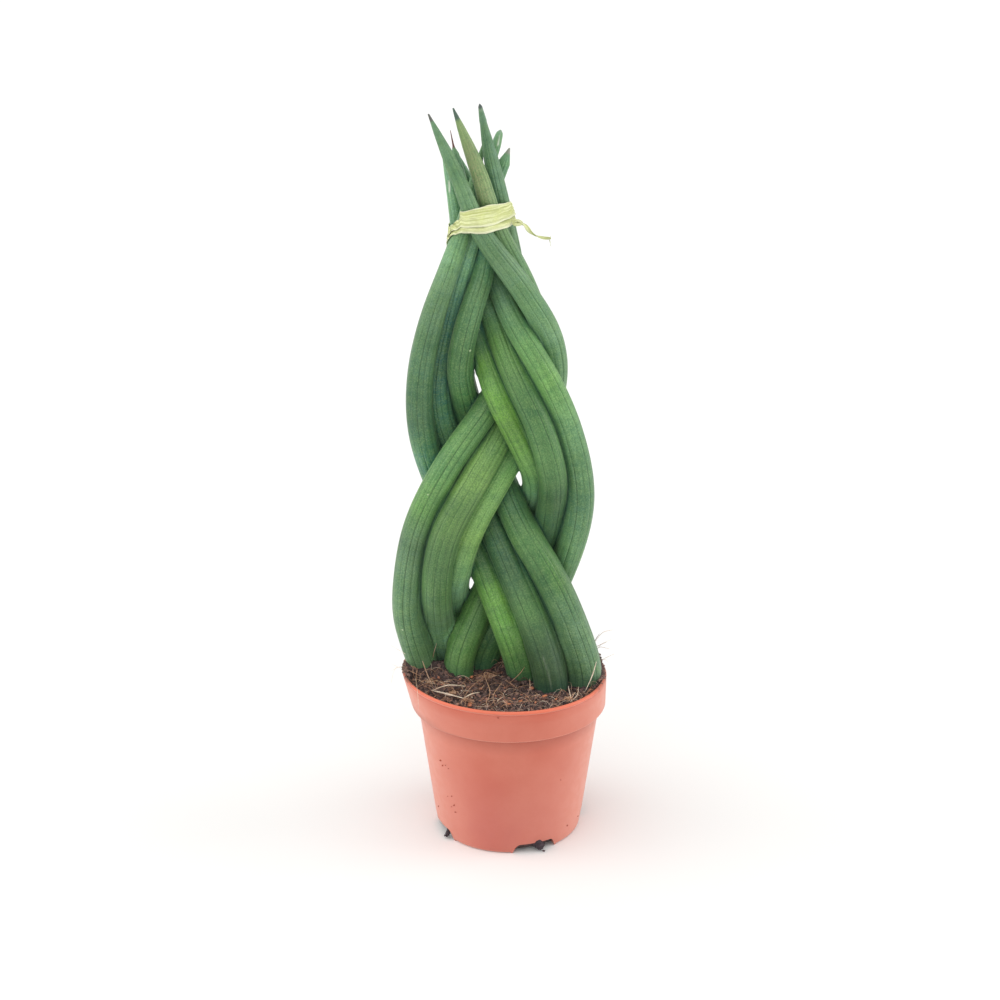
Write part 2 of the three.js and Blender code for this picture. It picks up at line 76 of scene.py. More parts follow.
Colour = tuple[float, float, float, float]
Points = np.ndarray
Faces = list[tuple[int, ...]]


# ------------------------------------------------------------------------------------------- small helpers


def colour(code: str) -> Colour:
    """Turns a colour as seen on a screen into light values.

    Args:
        code: six hexadecimal digits.

    Returns:
        Red, green and blue as linear values, and an alpha of 1.
    """
    shares = [int(code[i : i + 2], 16) / 255 for i in (0, 2, 4)]
    linear = [s / 12.92 if s <= 0.04045 else ((s + 0.055) / 1.055) ** 2.4 for s in shares]
    return (linear[0], linear[1], linear[2], 1.0)


def smooth_step(low: Points | float, high: Points | float, value: Points | float) -> Points | float:
    """Rises smoothly from 0 at low to 1 at high."""
    share = np.clip((value - low) / (high - low), 0, 1)
    return share * share * (3 - 2 * share)


def smooth_line(points: Sequence[Sequence[float]] | Points, count: int) -> Points:
    """Draws a smooth line through points.

    Args:
        points: the points that it passes, in order.
        count: how many points to return, evenly spread over the given ones.

    Returns:
        An array of count rows.
    """
    known = np.asarray(points, dtype=float)
    padded = np.vstack([2 * known[0] - known[1], known, 2 * known[-1] - known[-2]])
    place = np.linspace(0, len(known) - 1, count)
    first = np.minimum(place.astype(int), len(known) - 2)
    t = (place - first)[:, None]
    before, start, end, after = (padded[first + i] for i in range(4))
    return 0.5 * (
        2 * start
        + (end - before) * t
        + (2 * before - 5 * start + 4 * end - after) * t**2
        + (3 * start - before - 3 * end + after) * t**3
    )


def frames_along(line: Points) -> tuple[Points, Points]:
    """Two directions square to a line at each of its points, which don't twist round it.

    Args:
        line: the line's points.

    Returns:
        The first and the second direction at each point.
    """
    ahead = np.gradient(line, axis=0)
    ahead /= np.linalg.norm(ahead, axis=1, keepdims=True)
    side = np.cross(ahead[0], (0.0, 1.0, 0.0) if abs(ahead[0][1]) < 0.9 else (1.0, 0.0, 0.0))
    sides = []
    for direction in ahead:
        side = side - direction * np.dot(side, direction)
        side = side / np.linalg.norm(side)
        sides.append(side)
    first = np.array(sides)
    return first, np.cross(ahead, first)


def length_along(line: Points) -> Points:
    """The way along a line from its start to each of its points."""
    return np.concatenate([[0], np.cumsum(np.linalg.norm(np.diff(line, axis=0), axis=1))])


def angles_round(sides: int) -> Points:
    """The angles of evenly spaced points round a circle, in radians."""
    return np.arange(sides) * 2 * math.pi / sides


def rings_about(line: Points, angles: Points) -> Points:
    """The directions from each point of a line to the points of its ring."""
    first, second = frames_along(line)
    return np.cos(angles)[None, :, None] * first[:, None] + np.sin(angles)[None, :, None] * second[:, None]


def rows_round(outline: Sequence[tuple[float, float]], sides: int) -> list[Points]:
    """A row of points round the upright axis for each radius and height of an outline."""
    x, y = np.cos(angles_round(sides)), np.sin(angles_round(sides))
    return [np.column_stack([radius * x, radius * y, np.full(sides, height)]) for radius, height in outline]


def ring_faces(rings: int, sides: int) -> Faces:
    """Joins closed rows of points with four-sided faces.

    Args:
        rings: how many rows there are.
        sides: how many points each row has.

    Returns:
        The faces, as indices of points.
    """
    faces = []
    for start in range(0, (rings - 1) * sides, sides):
        for k in range(sides):
            after = (k + 1) % sides
            faces.append((start + k, start + after, start + sides + after, start + sides + k))
    return faces


def bar_faces(rings: int, sides: int) -> Faces:
    """Joins closed rows of points and closes them to a point at both ends.

    Args:
        rings: how many rows there are.
        sides: how many points each row has.

    Returns:
        The faces, as indices of the rows' points, then the point at the first end and that at the last.
    """
    low = rings * sides
    last = low - sides
    faces = ring_faces(rings, sides)
    faces += [(low, (k + 1) % sides, k) for k in range(sides)]
    faces += [(low + 1, last + k, last + (k + 1) % sides) for k in range(sides)]
    return faces


def store_value(mesh: bpy.types.Mesh, name: str, values: Points) -> None:
    """Stores a number or a vector for each point of a mesh."""
    kind, key = ("FLOAT", "value") if values.ndim == 1 else ("FLOAT_VECTOR", "vector")
    mesh.attributes.new(name, kind, "POINT").data.foreach_set(key, values.ravel())


@dataclass
class MeshPile:
    """Collects the points and faces of one piece, with values that its finish reads."""

    points: list[Points] = field(default_factory=list)
    faces: Faces = field(default_factory=list)
    values: dict[str, list[Points]] = field(default_factory=dict)
    count: int = 0

    def add(self, points: Points, faces: Faces, **values: Points | float) -> None:
        """Adds a closed shape.

        Args:
            points: its points.
            faces: its faces, as indices of these points.
            values: a number for the whole shape, or one or three for each point, under the value's name.
        """
        self.points.append(np.asarray(points, dtype=float))
        self.faces.extend(tuple(i + self.count for i in face) for face in faces)
        for name, value in values.items():
            spread = np.full(len(points), value) if np.isscalar(value) else np.asarray(value)
            self.values.setdefault(name, []).append(spread)
        self.count += len(points)

    def add_tube(self, line: Points, radii: Points, sides: int, **values: float) -> None:
        """Adds a round bar along a line, closed to a point at both ends.

        Args:
            line: its middle line.
            radii: its radius at each of the line's points.
            sides: how many sides it has.
            values: numbers for the whole bar, under their names.
        """
        body = line[:, None] + rings_about(line, angles_round(sides)) * radii[:, None, None]
        points = np.vstack([body.reshape(-1, 3), line[:1], line[-1:]])
        self.add(points, bar_faces(len(line), sides), **values)

    def piece(self, name: str, smooth: bool = True) -> bpy.types.Object:
        """Makes the piece.

        Args:
            name: the piece's name.
            smooth: whether its faces are shaded smoothly.

        Returns:
            The new object, linked to the scene.
        """
        mesh = bpy.data.meshes.new(name)
        mesh.from_pydata(np.vstack(self.points).tolist(), [], self.faces)
        for title, rows in self.values.items():
            store_value(mesh, title, np.concatenate(rows))
        mesh.polygons.foreach_set("use_smooth", [smooth] * len(mesh.polygons))
        mesh.validate()
        mesh.update()
        made = bpy.data.objects.new(name, mesh)
        bpy.context.scene.collection.objects.link(made)
        return made


def settle_piece(piece: bpy.types.Object, material: bpy.types.Material, slot: str, *nodes: str) -> None:
    """Gives a piece its material and seats it in the frame.

    Args:
        piece: the piece.
        material: its material.
        slot: the record's material slot for the piece; not used.
        nodes: the frame's nodes that it stands for.
    """
    piece.data.materials.clear()
    piece.data.materials.append(material)
    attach(piece, BODY)
    if nodes:
        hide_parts(*nodes)
    piece.data.calc_loop_triangles()
    log.info("%s: %d triangles", piece.name, len(piece.data.loop_triangles))


# ------------------------------------------------------------------------------------------- shader nodes

Socket = bpy.types.NodeSocket
Operand = Socket | float
Inputs = dict[str | int, object]


@dataclass
class NodeBench:
    """Adds nodes to one node tree and joins them up."""

    tree: bpy.types.NodeTree

    def feed(self, node: bpy.types.Node, inputs: Inputs) -> bpy.types.Node:
        """Sets a node's inputs.

        Args:
            node: the node.
            inputs: a value or a socket for each named or numbered input.

        Returns:
            The same node.
        """
        for name, value in inputs.items():
            if isinstance(value, bpy.types.NodeSocket):
                self.tree.links.new(value, node.inputs[name])
            else:
                node.inputs[name].default_value = value
        return node

    def add(self, kind: str, inputs: Inputs | None = None, **settings: object) -> bpy.types.Node:
        """Adds a node.

        Args:
            kind: the node's type name without its ShaderNode prefix.
            inputs: a value or a socket for each named or numbered input.
            settings: the node's own settings.

        Returns:
            The node.
        """
        node = self.tree.nodes.new("ShaderNode" + kind)
        for name, value in settings.items():
            setattr(node, name, value)
        return self.feed(node, inputs or {})

    def maths(self, operation: str, *operands: Operand, clamp: bool = False) -> Socket:
        """The result of a sum with one to three operands."""
        inputs = dict(enumerate(operands))
        return self.add("Math", inputs, operation=operation, use_clamp=clamp).outputs[0]

    def spread(
        self, value: Operand, low: float, high: float, to_low: float = 0.0, to_high: float = 1.0
    ) -> Socket:
        """Maps a value from one range to another, smoothly and without leaving it."""
        inputs = {0: value, 1: low, 2: high, 3: to_low, 4: to_high}
        return self.add("MapRange", inputs, interpolation_type="SMOOTHSTEP").outputs[0]

    def scaled(self, vector: Socket, scale: tuple[float, float, float]) -> Socket:
        """A vector stretched along each axis."""
        return self.add("Mapping", {"Vector": vector, "Scale": scale}, vector_type="POINT").outputs[0]

    def cloud(self, vector: Socket, scale: Operand, detail: float = 2.0, roughness: float = 0.5) -> Socket:
        """Soft noise from 0 to 1."""
        inputs = {"Vector": vector, "Scale": scale, "Detail": detail, "Roughness": roughness}
        return self.add("TexNoise", inputs).outputs[0]

    def ramp(self, factor: Operand, stops: Sequence[tuple[float, Colour]]) -> Socket:
        """A colour that changes with a factor.

        Args:
            factor: the factor, from 0 to 1.
            stops: the places, from 0 to 1, and their colours.

        Returns:
            The colour.
        """
        node = self.add("ValToRGB", {0: factor})
        elements = node.color_ramp.elements
        while len(elements) < len(stops):
            elements.new(0.5)
        for element, (place, tint) in zip(elements, stops):
            element.position = place
            element.color = tint
        return node.outputs[0]

    def blend(self, factor: Operand, low: object, high: object, mode: str = "MIX") -> Socket:
        """Mixes two colours, each a socket or a colour value."""
        return self.add("Mix", {0: factor, 6: low, 7: high}, data_type="RGBA", blend_type=mode).outputs[2]

    def wash(self, tint: object, code: str, where: Operand, share: float = 1.0) -> Socket:
        """Lays a colour over a tint.

        Args:
            tint: the tint below, a socket or a colour value.
            code: the colour, as six hexadecimal digits.
            where: how much of it lies there, from 0 to 1.
            share: how strong it is where all of it lies.

        Returns:
            The new tint.
        """
        cover = where if share == 1.0 else self.maths("MULTIPLY", where, share)
        return self.blend(cover, tint, colour(code))

    def value(self, name: str) -> Socket:
        """A number stored at each point of the mesh."""
        return self.add("Attribute", attribute_name=name).outputs["Fac"]

    def vector(self, name: str) -> Socket:
        """A vector stored at each point of the mesh."""
        return self.add("Attribute", attribute_name=name).outputs["Vector"]

    def place(self) -> Socket:
        """The point's own place on the piece, in metres."""
        return self.add("TexCoord").outputs["Object"]

    def group(self, tree: bpy.types.NodeTree, **inputs: Operand) -> list[Socket]:
        """Places a shared effect with its own values and gives its outputs."""
        return list(self.add("Group", inputs, node_tree=tree).outputs)


@dataclass
class MaterialBench(NodeBench):
    """Builds one material up to its surface shader."""

    material: bpy.types.Material

    @classmethod
    def start(cls, name: str) -> MaterialBench:
        """Starts a material.

        Args:
            name: its name.

        Returns:
            Its bench.
        """
        material = bpy.data.materials.new(name)
        material.use_nodes = True
        return cls(material.node_tree, material)

    def bump(self, height: Socket, strength: float, distance: float) -> Socket:
        """The relief of a surface, from its height and the depth of that in metres."""
        return self.add("Bump", {"Strength": strength, "Distance": distance, "Height": height}).outputs[0]

    def cover(self, inputs: Inputs) -> bpy.types.Material:
        """Sets the surface shader's inputs and gives the material."""
        self.feed(self.tree.nodes["Principled BSDF"], inputs)
        return self.material


def new_effect(
    name: str, numbers: Sequence[str], outputs: Sequence[str]
) -> tuple[NodeBench, dict[str, Socket], dict[str, Socket]]:
    """Starts a shared effect, which reads a place and puts out numbers.

    Args:
        name: the effect's name.
        numbers: the names of its inputs besides Place.
        outputs: the names of its outputs.

    Returns:
        The effect's bench, the sockets of its inputs and those of its outputs, by name.
    """
    tree = bpy.data.node_groups.new(name, "ShaderNodeTree")
    tree.interface.new_socket("Place", in_out="INPUT", socket_type="NodeSocketVector")
    for titles, side in ((numbers, "INPUT"), (outputs, "OUTPUT")):
        for title in titles:
            tree.interface.new_socket(title, in_out=side, socket_type="NodeSocketFloat")
    given, put = tree.nodes.new("NodeGroupInput"), tree.nodes.new("NodeGroupOutput")
    return NodeBench(tree), dict(given.outputs.items()), dict(put.inputs.items())


@dataclass
class Effects:
    """The effects that several finishes share."""

    streaks: bpy.types.NodeTree = field(init=False)
    specks: bpy.types.NodeTree = field(init=False)
    patches: bpy.types.NodeTree = field(init=False)

    def __post_init__(self) -> None:
        """Builds each effect once."""
        self.streaks = self.build_streaks()
        self.specks = self.build_specks()
        self.patches = self.build_patches()

    def build_streaks(self) -> bpy.types.NodeTree:
        """Fine lines along Z, such as a leaf's veins or a raffia ribbon's threads.

        Returns:
            An effect with a Streaks output from 0 to 1.
        """
        bench, given, put = new_effect("streaks_along", ("Fineness", "Length"), ("Streaks",))
        squeeze = bench.maths("DIVIDE", 1.0, given["Length"])
        scale = bench.add("CombineXYZ", {0: 1.0, 1: 1.0, 2: squeeze}).outputs[0]
        long = bench.add("VectorMath", {0: given["Place"], 1: scale}, operation="MULTIPLY").outputs[0]
        cloud = bench.cloud(long, given["Fineness"], 2.0, 0.55)
        bench.tree.links.new(bench.spread(cloud, 0.32, 0.68), put["Streaks"])
        return bench.tree

    def build_specks(self) -> bpy.types.NodeTree:
        """Small spots strewn over a surface.

        Returns:
            An effect with a Specks output that is 1 on a spot.
        """
        bench, given, put = new_effect("strewn_specks", ("Spacing", "Size", "Share"), ("Specks",))
        scale = bench.maths("DIVIDE", 1.0, given["Spacing"])
        cells = bench.add("TexVoronoi", {"Vector": given["Place"], "Scale": scale})
        pick = bench.add("SeparateColor", {0: cells.outputs["Color"]})
        size = bench.maths("MULTIPLY", given["Size"], pick.outputs[1])
        reach = bench.maths("DIVIDE", size, given["Spacing"])
        near = bench.maths("LESS_THAN", cells.outputs["Distance"], reach)
        chosen = bench.maths("LESS_THAN", pick.outputs[0], given["Share"])
        bench.tree.links.new(bench.maths("MULTIPLY", near, chosen), put["Specks"])
        return bench.tree

    def build_patches(self) -> bpy.types.NodeTree:
        """Broad soft patches with a finer mottle in them.

        Returns:
            An effect with a Patches and a Mottle output, both from 0 to 1.
        """
        bench, given, put = new_effect("patches_and_mottle", ("Broad", "Fine"), ("Patches", "Mottle"))
        for size, low, high, output in (("Broad", 0.35, 0.65, "Patches"), ("Fine", 0.3, 0.7, "Mottle")):
            cloud = bench.cloud(given["Place"], given[size], 3.0)
            bench.tree.links.new(bench.spread(cloud, low, high), put[output])
        return bench.tree


# ------------------------------------------------------------------------------------------- finishes


class Green(Enum):
    """The leaves' greens."""

    COOL = "70957b"
    GREY = "719571"
    MID = "6a9469"
    BLUE = "537f61"
    SHADE = "426e68"
    DEEP = "467445"
    LIGHT = "82a959"
    OLIVE = "94a872"
    YOUNG = "6b9a59"
    FRESH = "70a155"
    YELLOW = "77ad42"


@dataclass(frozen=True)
class LeafFinish:
    """A leaf's skin: green along its length, with thin dark grooves, a fine grain, bands and a dry tip."""

    name: str
    greens: tuple[tuple[float, Green, float], ...]
    dry: str
    dry_length: float
    patch: str = "3a6944"
    mottle: str = "95b865"
    band: str = "35603c"
    dark_grain: str = "356038"
    light_grain: str = "a4c47e"
    vein: str = "22491f"
    groove: str = "1a3a22"
    blush: str = "a58f74"
    # colour of the painted shade between leaves and at the foot
    shade: str = "28524f"
    speck: str = "cfdcb4"
    sap: str = "e4ead8"
    groove_depth: float = 0.82
    roughness: float = 0.42
    reach: float = 381.0
    ragged: float = 0.9

    def material(self, effects: Effects) -> bpy.types.Material:
        """Builds the material.

        Args:
            effects: the shared effects.

        Returns:
            The material, which reads the values unbent, line, deep, pale, fresh and blush from the mesh. Deep
            is painted shade, where leaves lie close and at the foot.
        """
        bench = MaterialBench.start(self.name)
        unbent = bench.vector("unbent")
        from_tip = bench.add("SeparateXYZ", {0: unbent}).outputs[2]
        along = bench.maths("DIVIDE", from_tip, self.reach * MM, clamp=True)
        green = bench.ramp(along, [(place, colour(tint.value)) for place, tint, _ in self.greens])
        green = bench.wash(green, Green.YELLOW.value, bench.value("fresh"))
        place = bench.scaled(unbent, (0.5, 0.5, 0.7))
        patches, mottle = bench.group(effects.patches, Place=place, Broad=75.0, Fine=300.0)
        green = bench.wash(green, self.patch, patches, 0.42)
        green = bench.wash(green, self.mottle, mottle, 0.18)
        bands = bench.cloud(bench.scaled(unbent, (0.22, 0.22, 1.5)), 165.0, 3.0)
        green = bench.wash(green, self.band, bench.spread(bands, 0.48, 0.72, 0.0, 0.26))
        coarse, fine = bench.cloud(unbent, 1080.0, 1.0), bench.cloud(unbent, 1900.0, 1.0)
        green = bench.wash(green, self.dark_grain, bench.spread(fine, 0.38, 0.64, 0.0, 0.5))
        green = bench.wash(green, self.light_grain, bench.spread(coarse, 0.46, 0.7, 0.0, 0.2))
        streaks = bench.group(effects.streaks, Place=unbent, Fineness=1000.0, Length=30.0)[0]
        # brightness along the leaf, partly painted light on its shaded stretches
        green = self.lighten(bench, along, bench.wash(green, self.vein, streaks, 0.24))
        breaks = bench.cloud(bench.scaled(unbent, (0.3, 0.3, 1.0)), 95.0)
        line = bench.maths("MULTIPLY", bench.value("line"), bench.spread(breaks, 0.34, 0.54, 0.4, 1.0))
        green = bench.wash(green, self.groove, line, self.groove_depth)
        blotches = bench.maths("MULTIPLY", bench.value("blush"), bench.spread(coarse, 0.4, 0.6))
        green = bench.wash(green, self.blush, blotches)
        # painted shade where leaves lie close and where the leaf goes into the mix
        green = bench.wash(green, self.shade, bench.value("deep"), 0.8)
        specks = bench.group(effects.specks, Place=unbent, Spacing=0.012, Size=0.0007, Share=0.45)[0]
        green = bench.wash(green, self.speck, specks, 0.55)
        green = bench.wash(green, self.sap, bench.value("pale"))
        uneven = bench.maths("ADD", from_tip, bench.maths("MULTIPLY", coarse, 0.0016))
        end, ragged = (self.dry_length + 0.8) * MM, self.ragged * MM
        green = bench.wash(green, self.dry, bench.spread(uneven, end - ragged, end + ragged, 1.0, 0.0))
        lines = bench.maths("ADD", streaks, line)
        rough = bench.spread(lines, 0.0, 2.0, self.roughness, self.roughness + 0.2)
        height = bench.maths("ADD", bench.maths("MULTIPLY", streaks, 0.4), bench.maths("MULTIPLY", fine, 0.6))
        inputs = {"Base Color": green, "Roughness": rough, "Normal": bench.bump(height, 0.3, 0.00022)}
        inputs |= {"Specular IOR Level": 0.38, "Sheen Weight": 0.05, "Sheen Roughness": 0.4}
        return bench.cover(inputs)

    def lighten(self, bench: NodeBench, along: Socket, green: Socket) -> Socket:
        """Gives each stretch of the leaf its brightness, which is partly the leaf's own tone and partly
        painted light that lifts the stretches lying in shade between the leaves and under the tie.

        Args:
            bench: the material's bench.
            along: the place along the leaf, from 0 at its tip to 1.
            green: its green so far.

        Returns:
            The green times the brightness, which is at most 2.
        """
        half = bench.ramp(along, [(place, (light / 2,) * 3 + (1.0,)) for place, _, light in self.greens])
        dimmed = bench.blend(1.0, green, half, "MULTIPLY")
        return bench.blend(1.0, dimmed, dimmed, "ADD")


@dataclass(frozen=True)
class PotFinish:
    """Thin moulded plastic in a terracotta colour, with a painted sheen that makes it paler where it turns
    away, a painted highlight at the lip and a painted shadow under the band.
    """

    body: str = "c1614c"
    low: str = "bd6457"
    painted_sheen: str = "dc8d79"
    # colour of the painted highlight on the lip, as if lit through its thin plastic
    lip: str = "dd7053"
    scuff: str = "d88a75"
    mottle: str = "b85a46"
    # colour of the painted shadow under the band
    band_shadow: str = "93483a"
    soil: str = "704b3d"
    dirt: str = "5b4038"
    roughness: float = 0.42

    def material(self, effects: Effects) -> bpy.types.Material:
        """Builds the material.

        Args:
            effects: the shared effects.

        Returns:
            The material, which reads the values lip, band_shadow and soiled from the pot's mesh: a painted
            highlight on the lip, a painted shadow under the band and real soil.
        """
        bench = MaterialBench.start("terracotta_plastic")
        place = bench.place()
        height = bench.add("SeparateXYZ", {0: place}).outputs[2]
        tint = bench.wash(colour(self.low), self.body, bench.spread(height, 0.01, 0.075))
        patches, mottle = bench.group(effects.patches, Place=place, Broad=24.0, Fine=190.0)
        tint = bench.wash(tint, self.scuff, patches, 0.3)
        tint = bench.wash(tint, self.mottle, mottle, 0.1)
        # painted sheen: the colour turns paler where the surface turns away from the view
        away = bench.add("LayerWeight", {"Blend": 0.5}).outputs["Facing"]
        tint = bench.wash(tint, self.painted_sheen, bench.spread(away, 0.12, 0.85))
        # painted highlight along the lip
        tint = bench.wash(tint, self.lip, bench.value("lip"))
        # painted shadow just under the band
        tint = bench.wash(tint, self.band_shadow, bench.value("band_shadow"), 0.36)
        smears = bench.maths("MULTIPLY", bench.value("soiled"), bench.spread(mottle, 0.25, 0.6, 0.35, 0.9))
        tint = bench.wash(tint, self.soil, smears)
        specks = bench.group(effects.specks, Place=place, Spacing=0.009, Size=0.0006, Share=0.16)[0]
        spots = bench.maths("MULTIPLY", specks, bench.spread(patches, 0.55, 0.9))
        tint = bench.wash(tint, self.dirt, spots, 0.6)
        rough = bench.spread(mottle, 0.0, 1.0, self.roughness, self.roughness + 0.12)
        grain = bench.bump(bench.cloud(place, 1300.0), 0.12, 0.0002)
        inputs = {"Base Color": tint, "Roughness": rough, "Normal": grain}
        inputs |= {"Specular IOR Level": 0.45, "Sheen Weight": 0.1, "Sheen Roughness": 0.5}
        return bench.cover(inputs)


@dataclass(frozen=True)
class SoilFinish:
    """Coir and peat: crumbs, chips and fibres that each have a tone of their own; on the bed and the crumbs
    the tone also holds painted shade near the stems.
    """

    name: str
    tones: tuple[tuple[float, str], ...]
    shade: str = "33261f"
    roughness: float = 0.9
    relief: float = 0.6

    def material(self, effects: Effects) -> bpy.types.Material:
        """Builds the material.

        Args:
            effects: the shared effects.

        Returns:
            The material, which reads the value tone from the mesh.
        """
        bench = MaterialBench.start(self.name)
        patches, mottle = bench.group(effects.patches, Place=bench.place(), Broad=240.0, Fine=1500.0)
        shift = bench.maths("MULTIPLY", bench.maths("SUBTRACT", mottle, 0.5), 0.3)
        tone = bench.maths("ADD", bench.value("tone"), shift, clamp=True)
        tint = bench.ramp(tone, [(place, colour(code)) for place, code in self.tones])
        tint = bench.wash(tint, self.shade, patches, 0.25)
        rough = bench.spread(mottle, 0.0, 1.0, self.roughness - 0.15, self.roughness)
        crumbly = bench.bump(mottle, self.relief, 0.0004)
        inputs = {"Base Color": tint, "Roughness": rough, "Normal": crumbly, "Specular IOR Level": 0.25}
        return bench.cover(inputs)


@dataclass(frozen=True)
class RaffiaFinish:
    """Dry raffia: a pale ribbon of fine threads, whiter along its edges, with painted shade in its folds and
    where it tucks under.
    """

    light: str = "e9eeb8"
    dark: str = "b4bd72"
    green: str = "d9e08f"
    brown: str = "a79b62"
    edge: str = "fbfae6"
    # colour of the painted shade in folds
    fold: str = "7f8a48"
    roughness: float = 0.55

    def material(self, effects: Effects) -> bpy.types.Material:
        """Builds the material.

        Args:
            effects: the shared effects.

        Returns:
            The material, which reads the values ribbon, edge and fold from the mesh; fold is painted shade.
        """
        bench = MaterialBench.start("dry_raffia")
        ribbon = bench.vector("ribbon")
        streaks = bench.group(effects.streaks, Place=ribbon, Fineness=1500.0, Length=45.0)[0]
        tint = bench.wash(colour(self.dark), self.light, streaks)
        patches, mottle = bench.group(effects.patches, Place=ribbon, Broad=160.0, Fine=900.0)
        tint = bench.wash(tint, self.green, patches, 0.4)
        tint = bench.wash(tint, self.brown, mottle, 0.15)
        tint = bench.wash(tint, self.edge, bench.value("edge"), 0.6)
        # painted shade in the folds and under the upper layer
        tint = bench.wash(tint, self.fold, bench.value("fold"), 0.7)
        rough = bench.spread(streaks, 0.0, 1.0, self.roughness, self.roughness + 0.2)
        inputs = {"Base Color": tint, "Roughness": rough, "Normal": bench.bump(streaks, 0.8, 0.0003)}
        inputs["Specular IOR Level"] = 0.4
        return bench.cover(inputs)


@dataclass(frozen=True)
class FloorFinish:
    """A plain pale studio floor."""

    tint: str = "f4f4f2"
    shade: str = "e2e2df"

    def material(self) -> bpy.types.Material:
        """Builds the material.

        Returns:
            The material, which is a trace darker in broad patches.
        """
        bench = MaterialBench.start("pale_floor")
        uneven = bench.spread(bench.cloud(bench.place(), 3.0), 0.3, 0.7, 0.0, 0.05)
        tint = bench.wash(colour(self.tint), self.shade, uneven)
        return bench.cover({"Base Color": tint, "Roughness": 0.8, "Specular IOR Level": 0.2})


# ------------------------------------------------------------------------------------------- leaves


class Tip(Enum):
    """How a leaf ends."""

    SHARP = "sharp"
    DRY = "dry"
    BLUNT = "blunt"
    ROUND = "round"
    STUB = "stub"


class Mark(Enum):
    """What a mark does to the colour of a leaf's skin."""

    PALE = "pale"
    FRESH = "fresh"
    BLUSH = "blush"


@dataclass(frozen=True)
class SkinMark:
    """A streak or a patch on a leaf's skin, laid along a line of places in millimetres."""

    kind: Mark
    route: tuple[tuple[float, float, float], ...]
    width: float
    strength: float

    def cover(self, points: Points) -> Points:
        """How strongly the mark covers each point.

        Args:
            points: the leaf's points in metres.

        Returns:
            From 0 to the mark's strength.
        """
        away = np.full(len(points), 1.0)
        for place in smooth_line(self.route, 10 * len(self.route)) * MM:
            away = np.minimum(away, np.linalg.norm(points - place, axis=1))
        return self.strength * np.exp(-((away / (self.width * MM)) ** 2))


@dataclass
class MiddleLine:
    """A leaf's middle line and its thickness, read from the frame's node."""

    points: Points
    radii: Points

    @classmethod
    def of(cls, node: bpy.types.Object, sides: int = 10) -> MiddleLine:
        """Reads the rings of a node that is a bar of even rings.

        Args:
            node: the frame's node.
            sides: how many points each ring has.

        Returns:
            The middle line from the tip down to the base.
        """
        found: dict[tuple[int, ...], int] = {}
        places: list[Vector] = []
        index = []
        for vertex in node.data.vertices:
            key = tuple(round(c * 1e6) for c in vertex.co)
            if key not in found:
                found[key] = len(places)
                places.append(vertex.co.copy())
            index.append(found[key])
        beside: list[set[int]] = [set() for _ in places]
        for polygon in node.data.polygons:
            corners = [index[i] for i in polygon.vertices]
            for corner in corners:
                beside[corner].update(corners)
        ends = [i for i, near in enumerate(beside) if len(near) == sides + 1]
        start = max(ends, key=lambda i: places[i].z)
        seen = {start}
        ring = {start}
        centres, radii = [], []
        while True:
            ring = set().union(*(beside[i] for i in ring)) - seen
            if len(ring) < sides:
                break
            seen |= ring
            at = np.array([places[i] for i in ring])
            centres.append(at.mean(axis=0))
            radii.append(np.linalg.norm(at - centres[-1], axis=1).mean())
        line = np.array(centres)
        line[1:-1] += 0.2 * (line[2:] + line[:-2] - 2 * line[1:-1])
        return cls(line, np.array(radii))

    def at_height(self, height: float) -> tuple[float, float, float]:
        """Where the leaf crosses a height.

        Args:
            height: the height in metres.

        Returns:
            Its x, y and radius there.
        """
        order = np.argsort(self.points[:, 2])
        heights = self.points[order, 2]
        x, y = (float(np.interp(height, heights, self.points[order, i])) for i in range(2))
        return x, y, float(np.interp(height, heights, self.radii[order]))


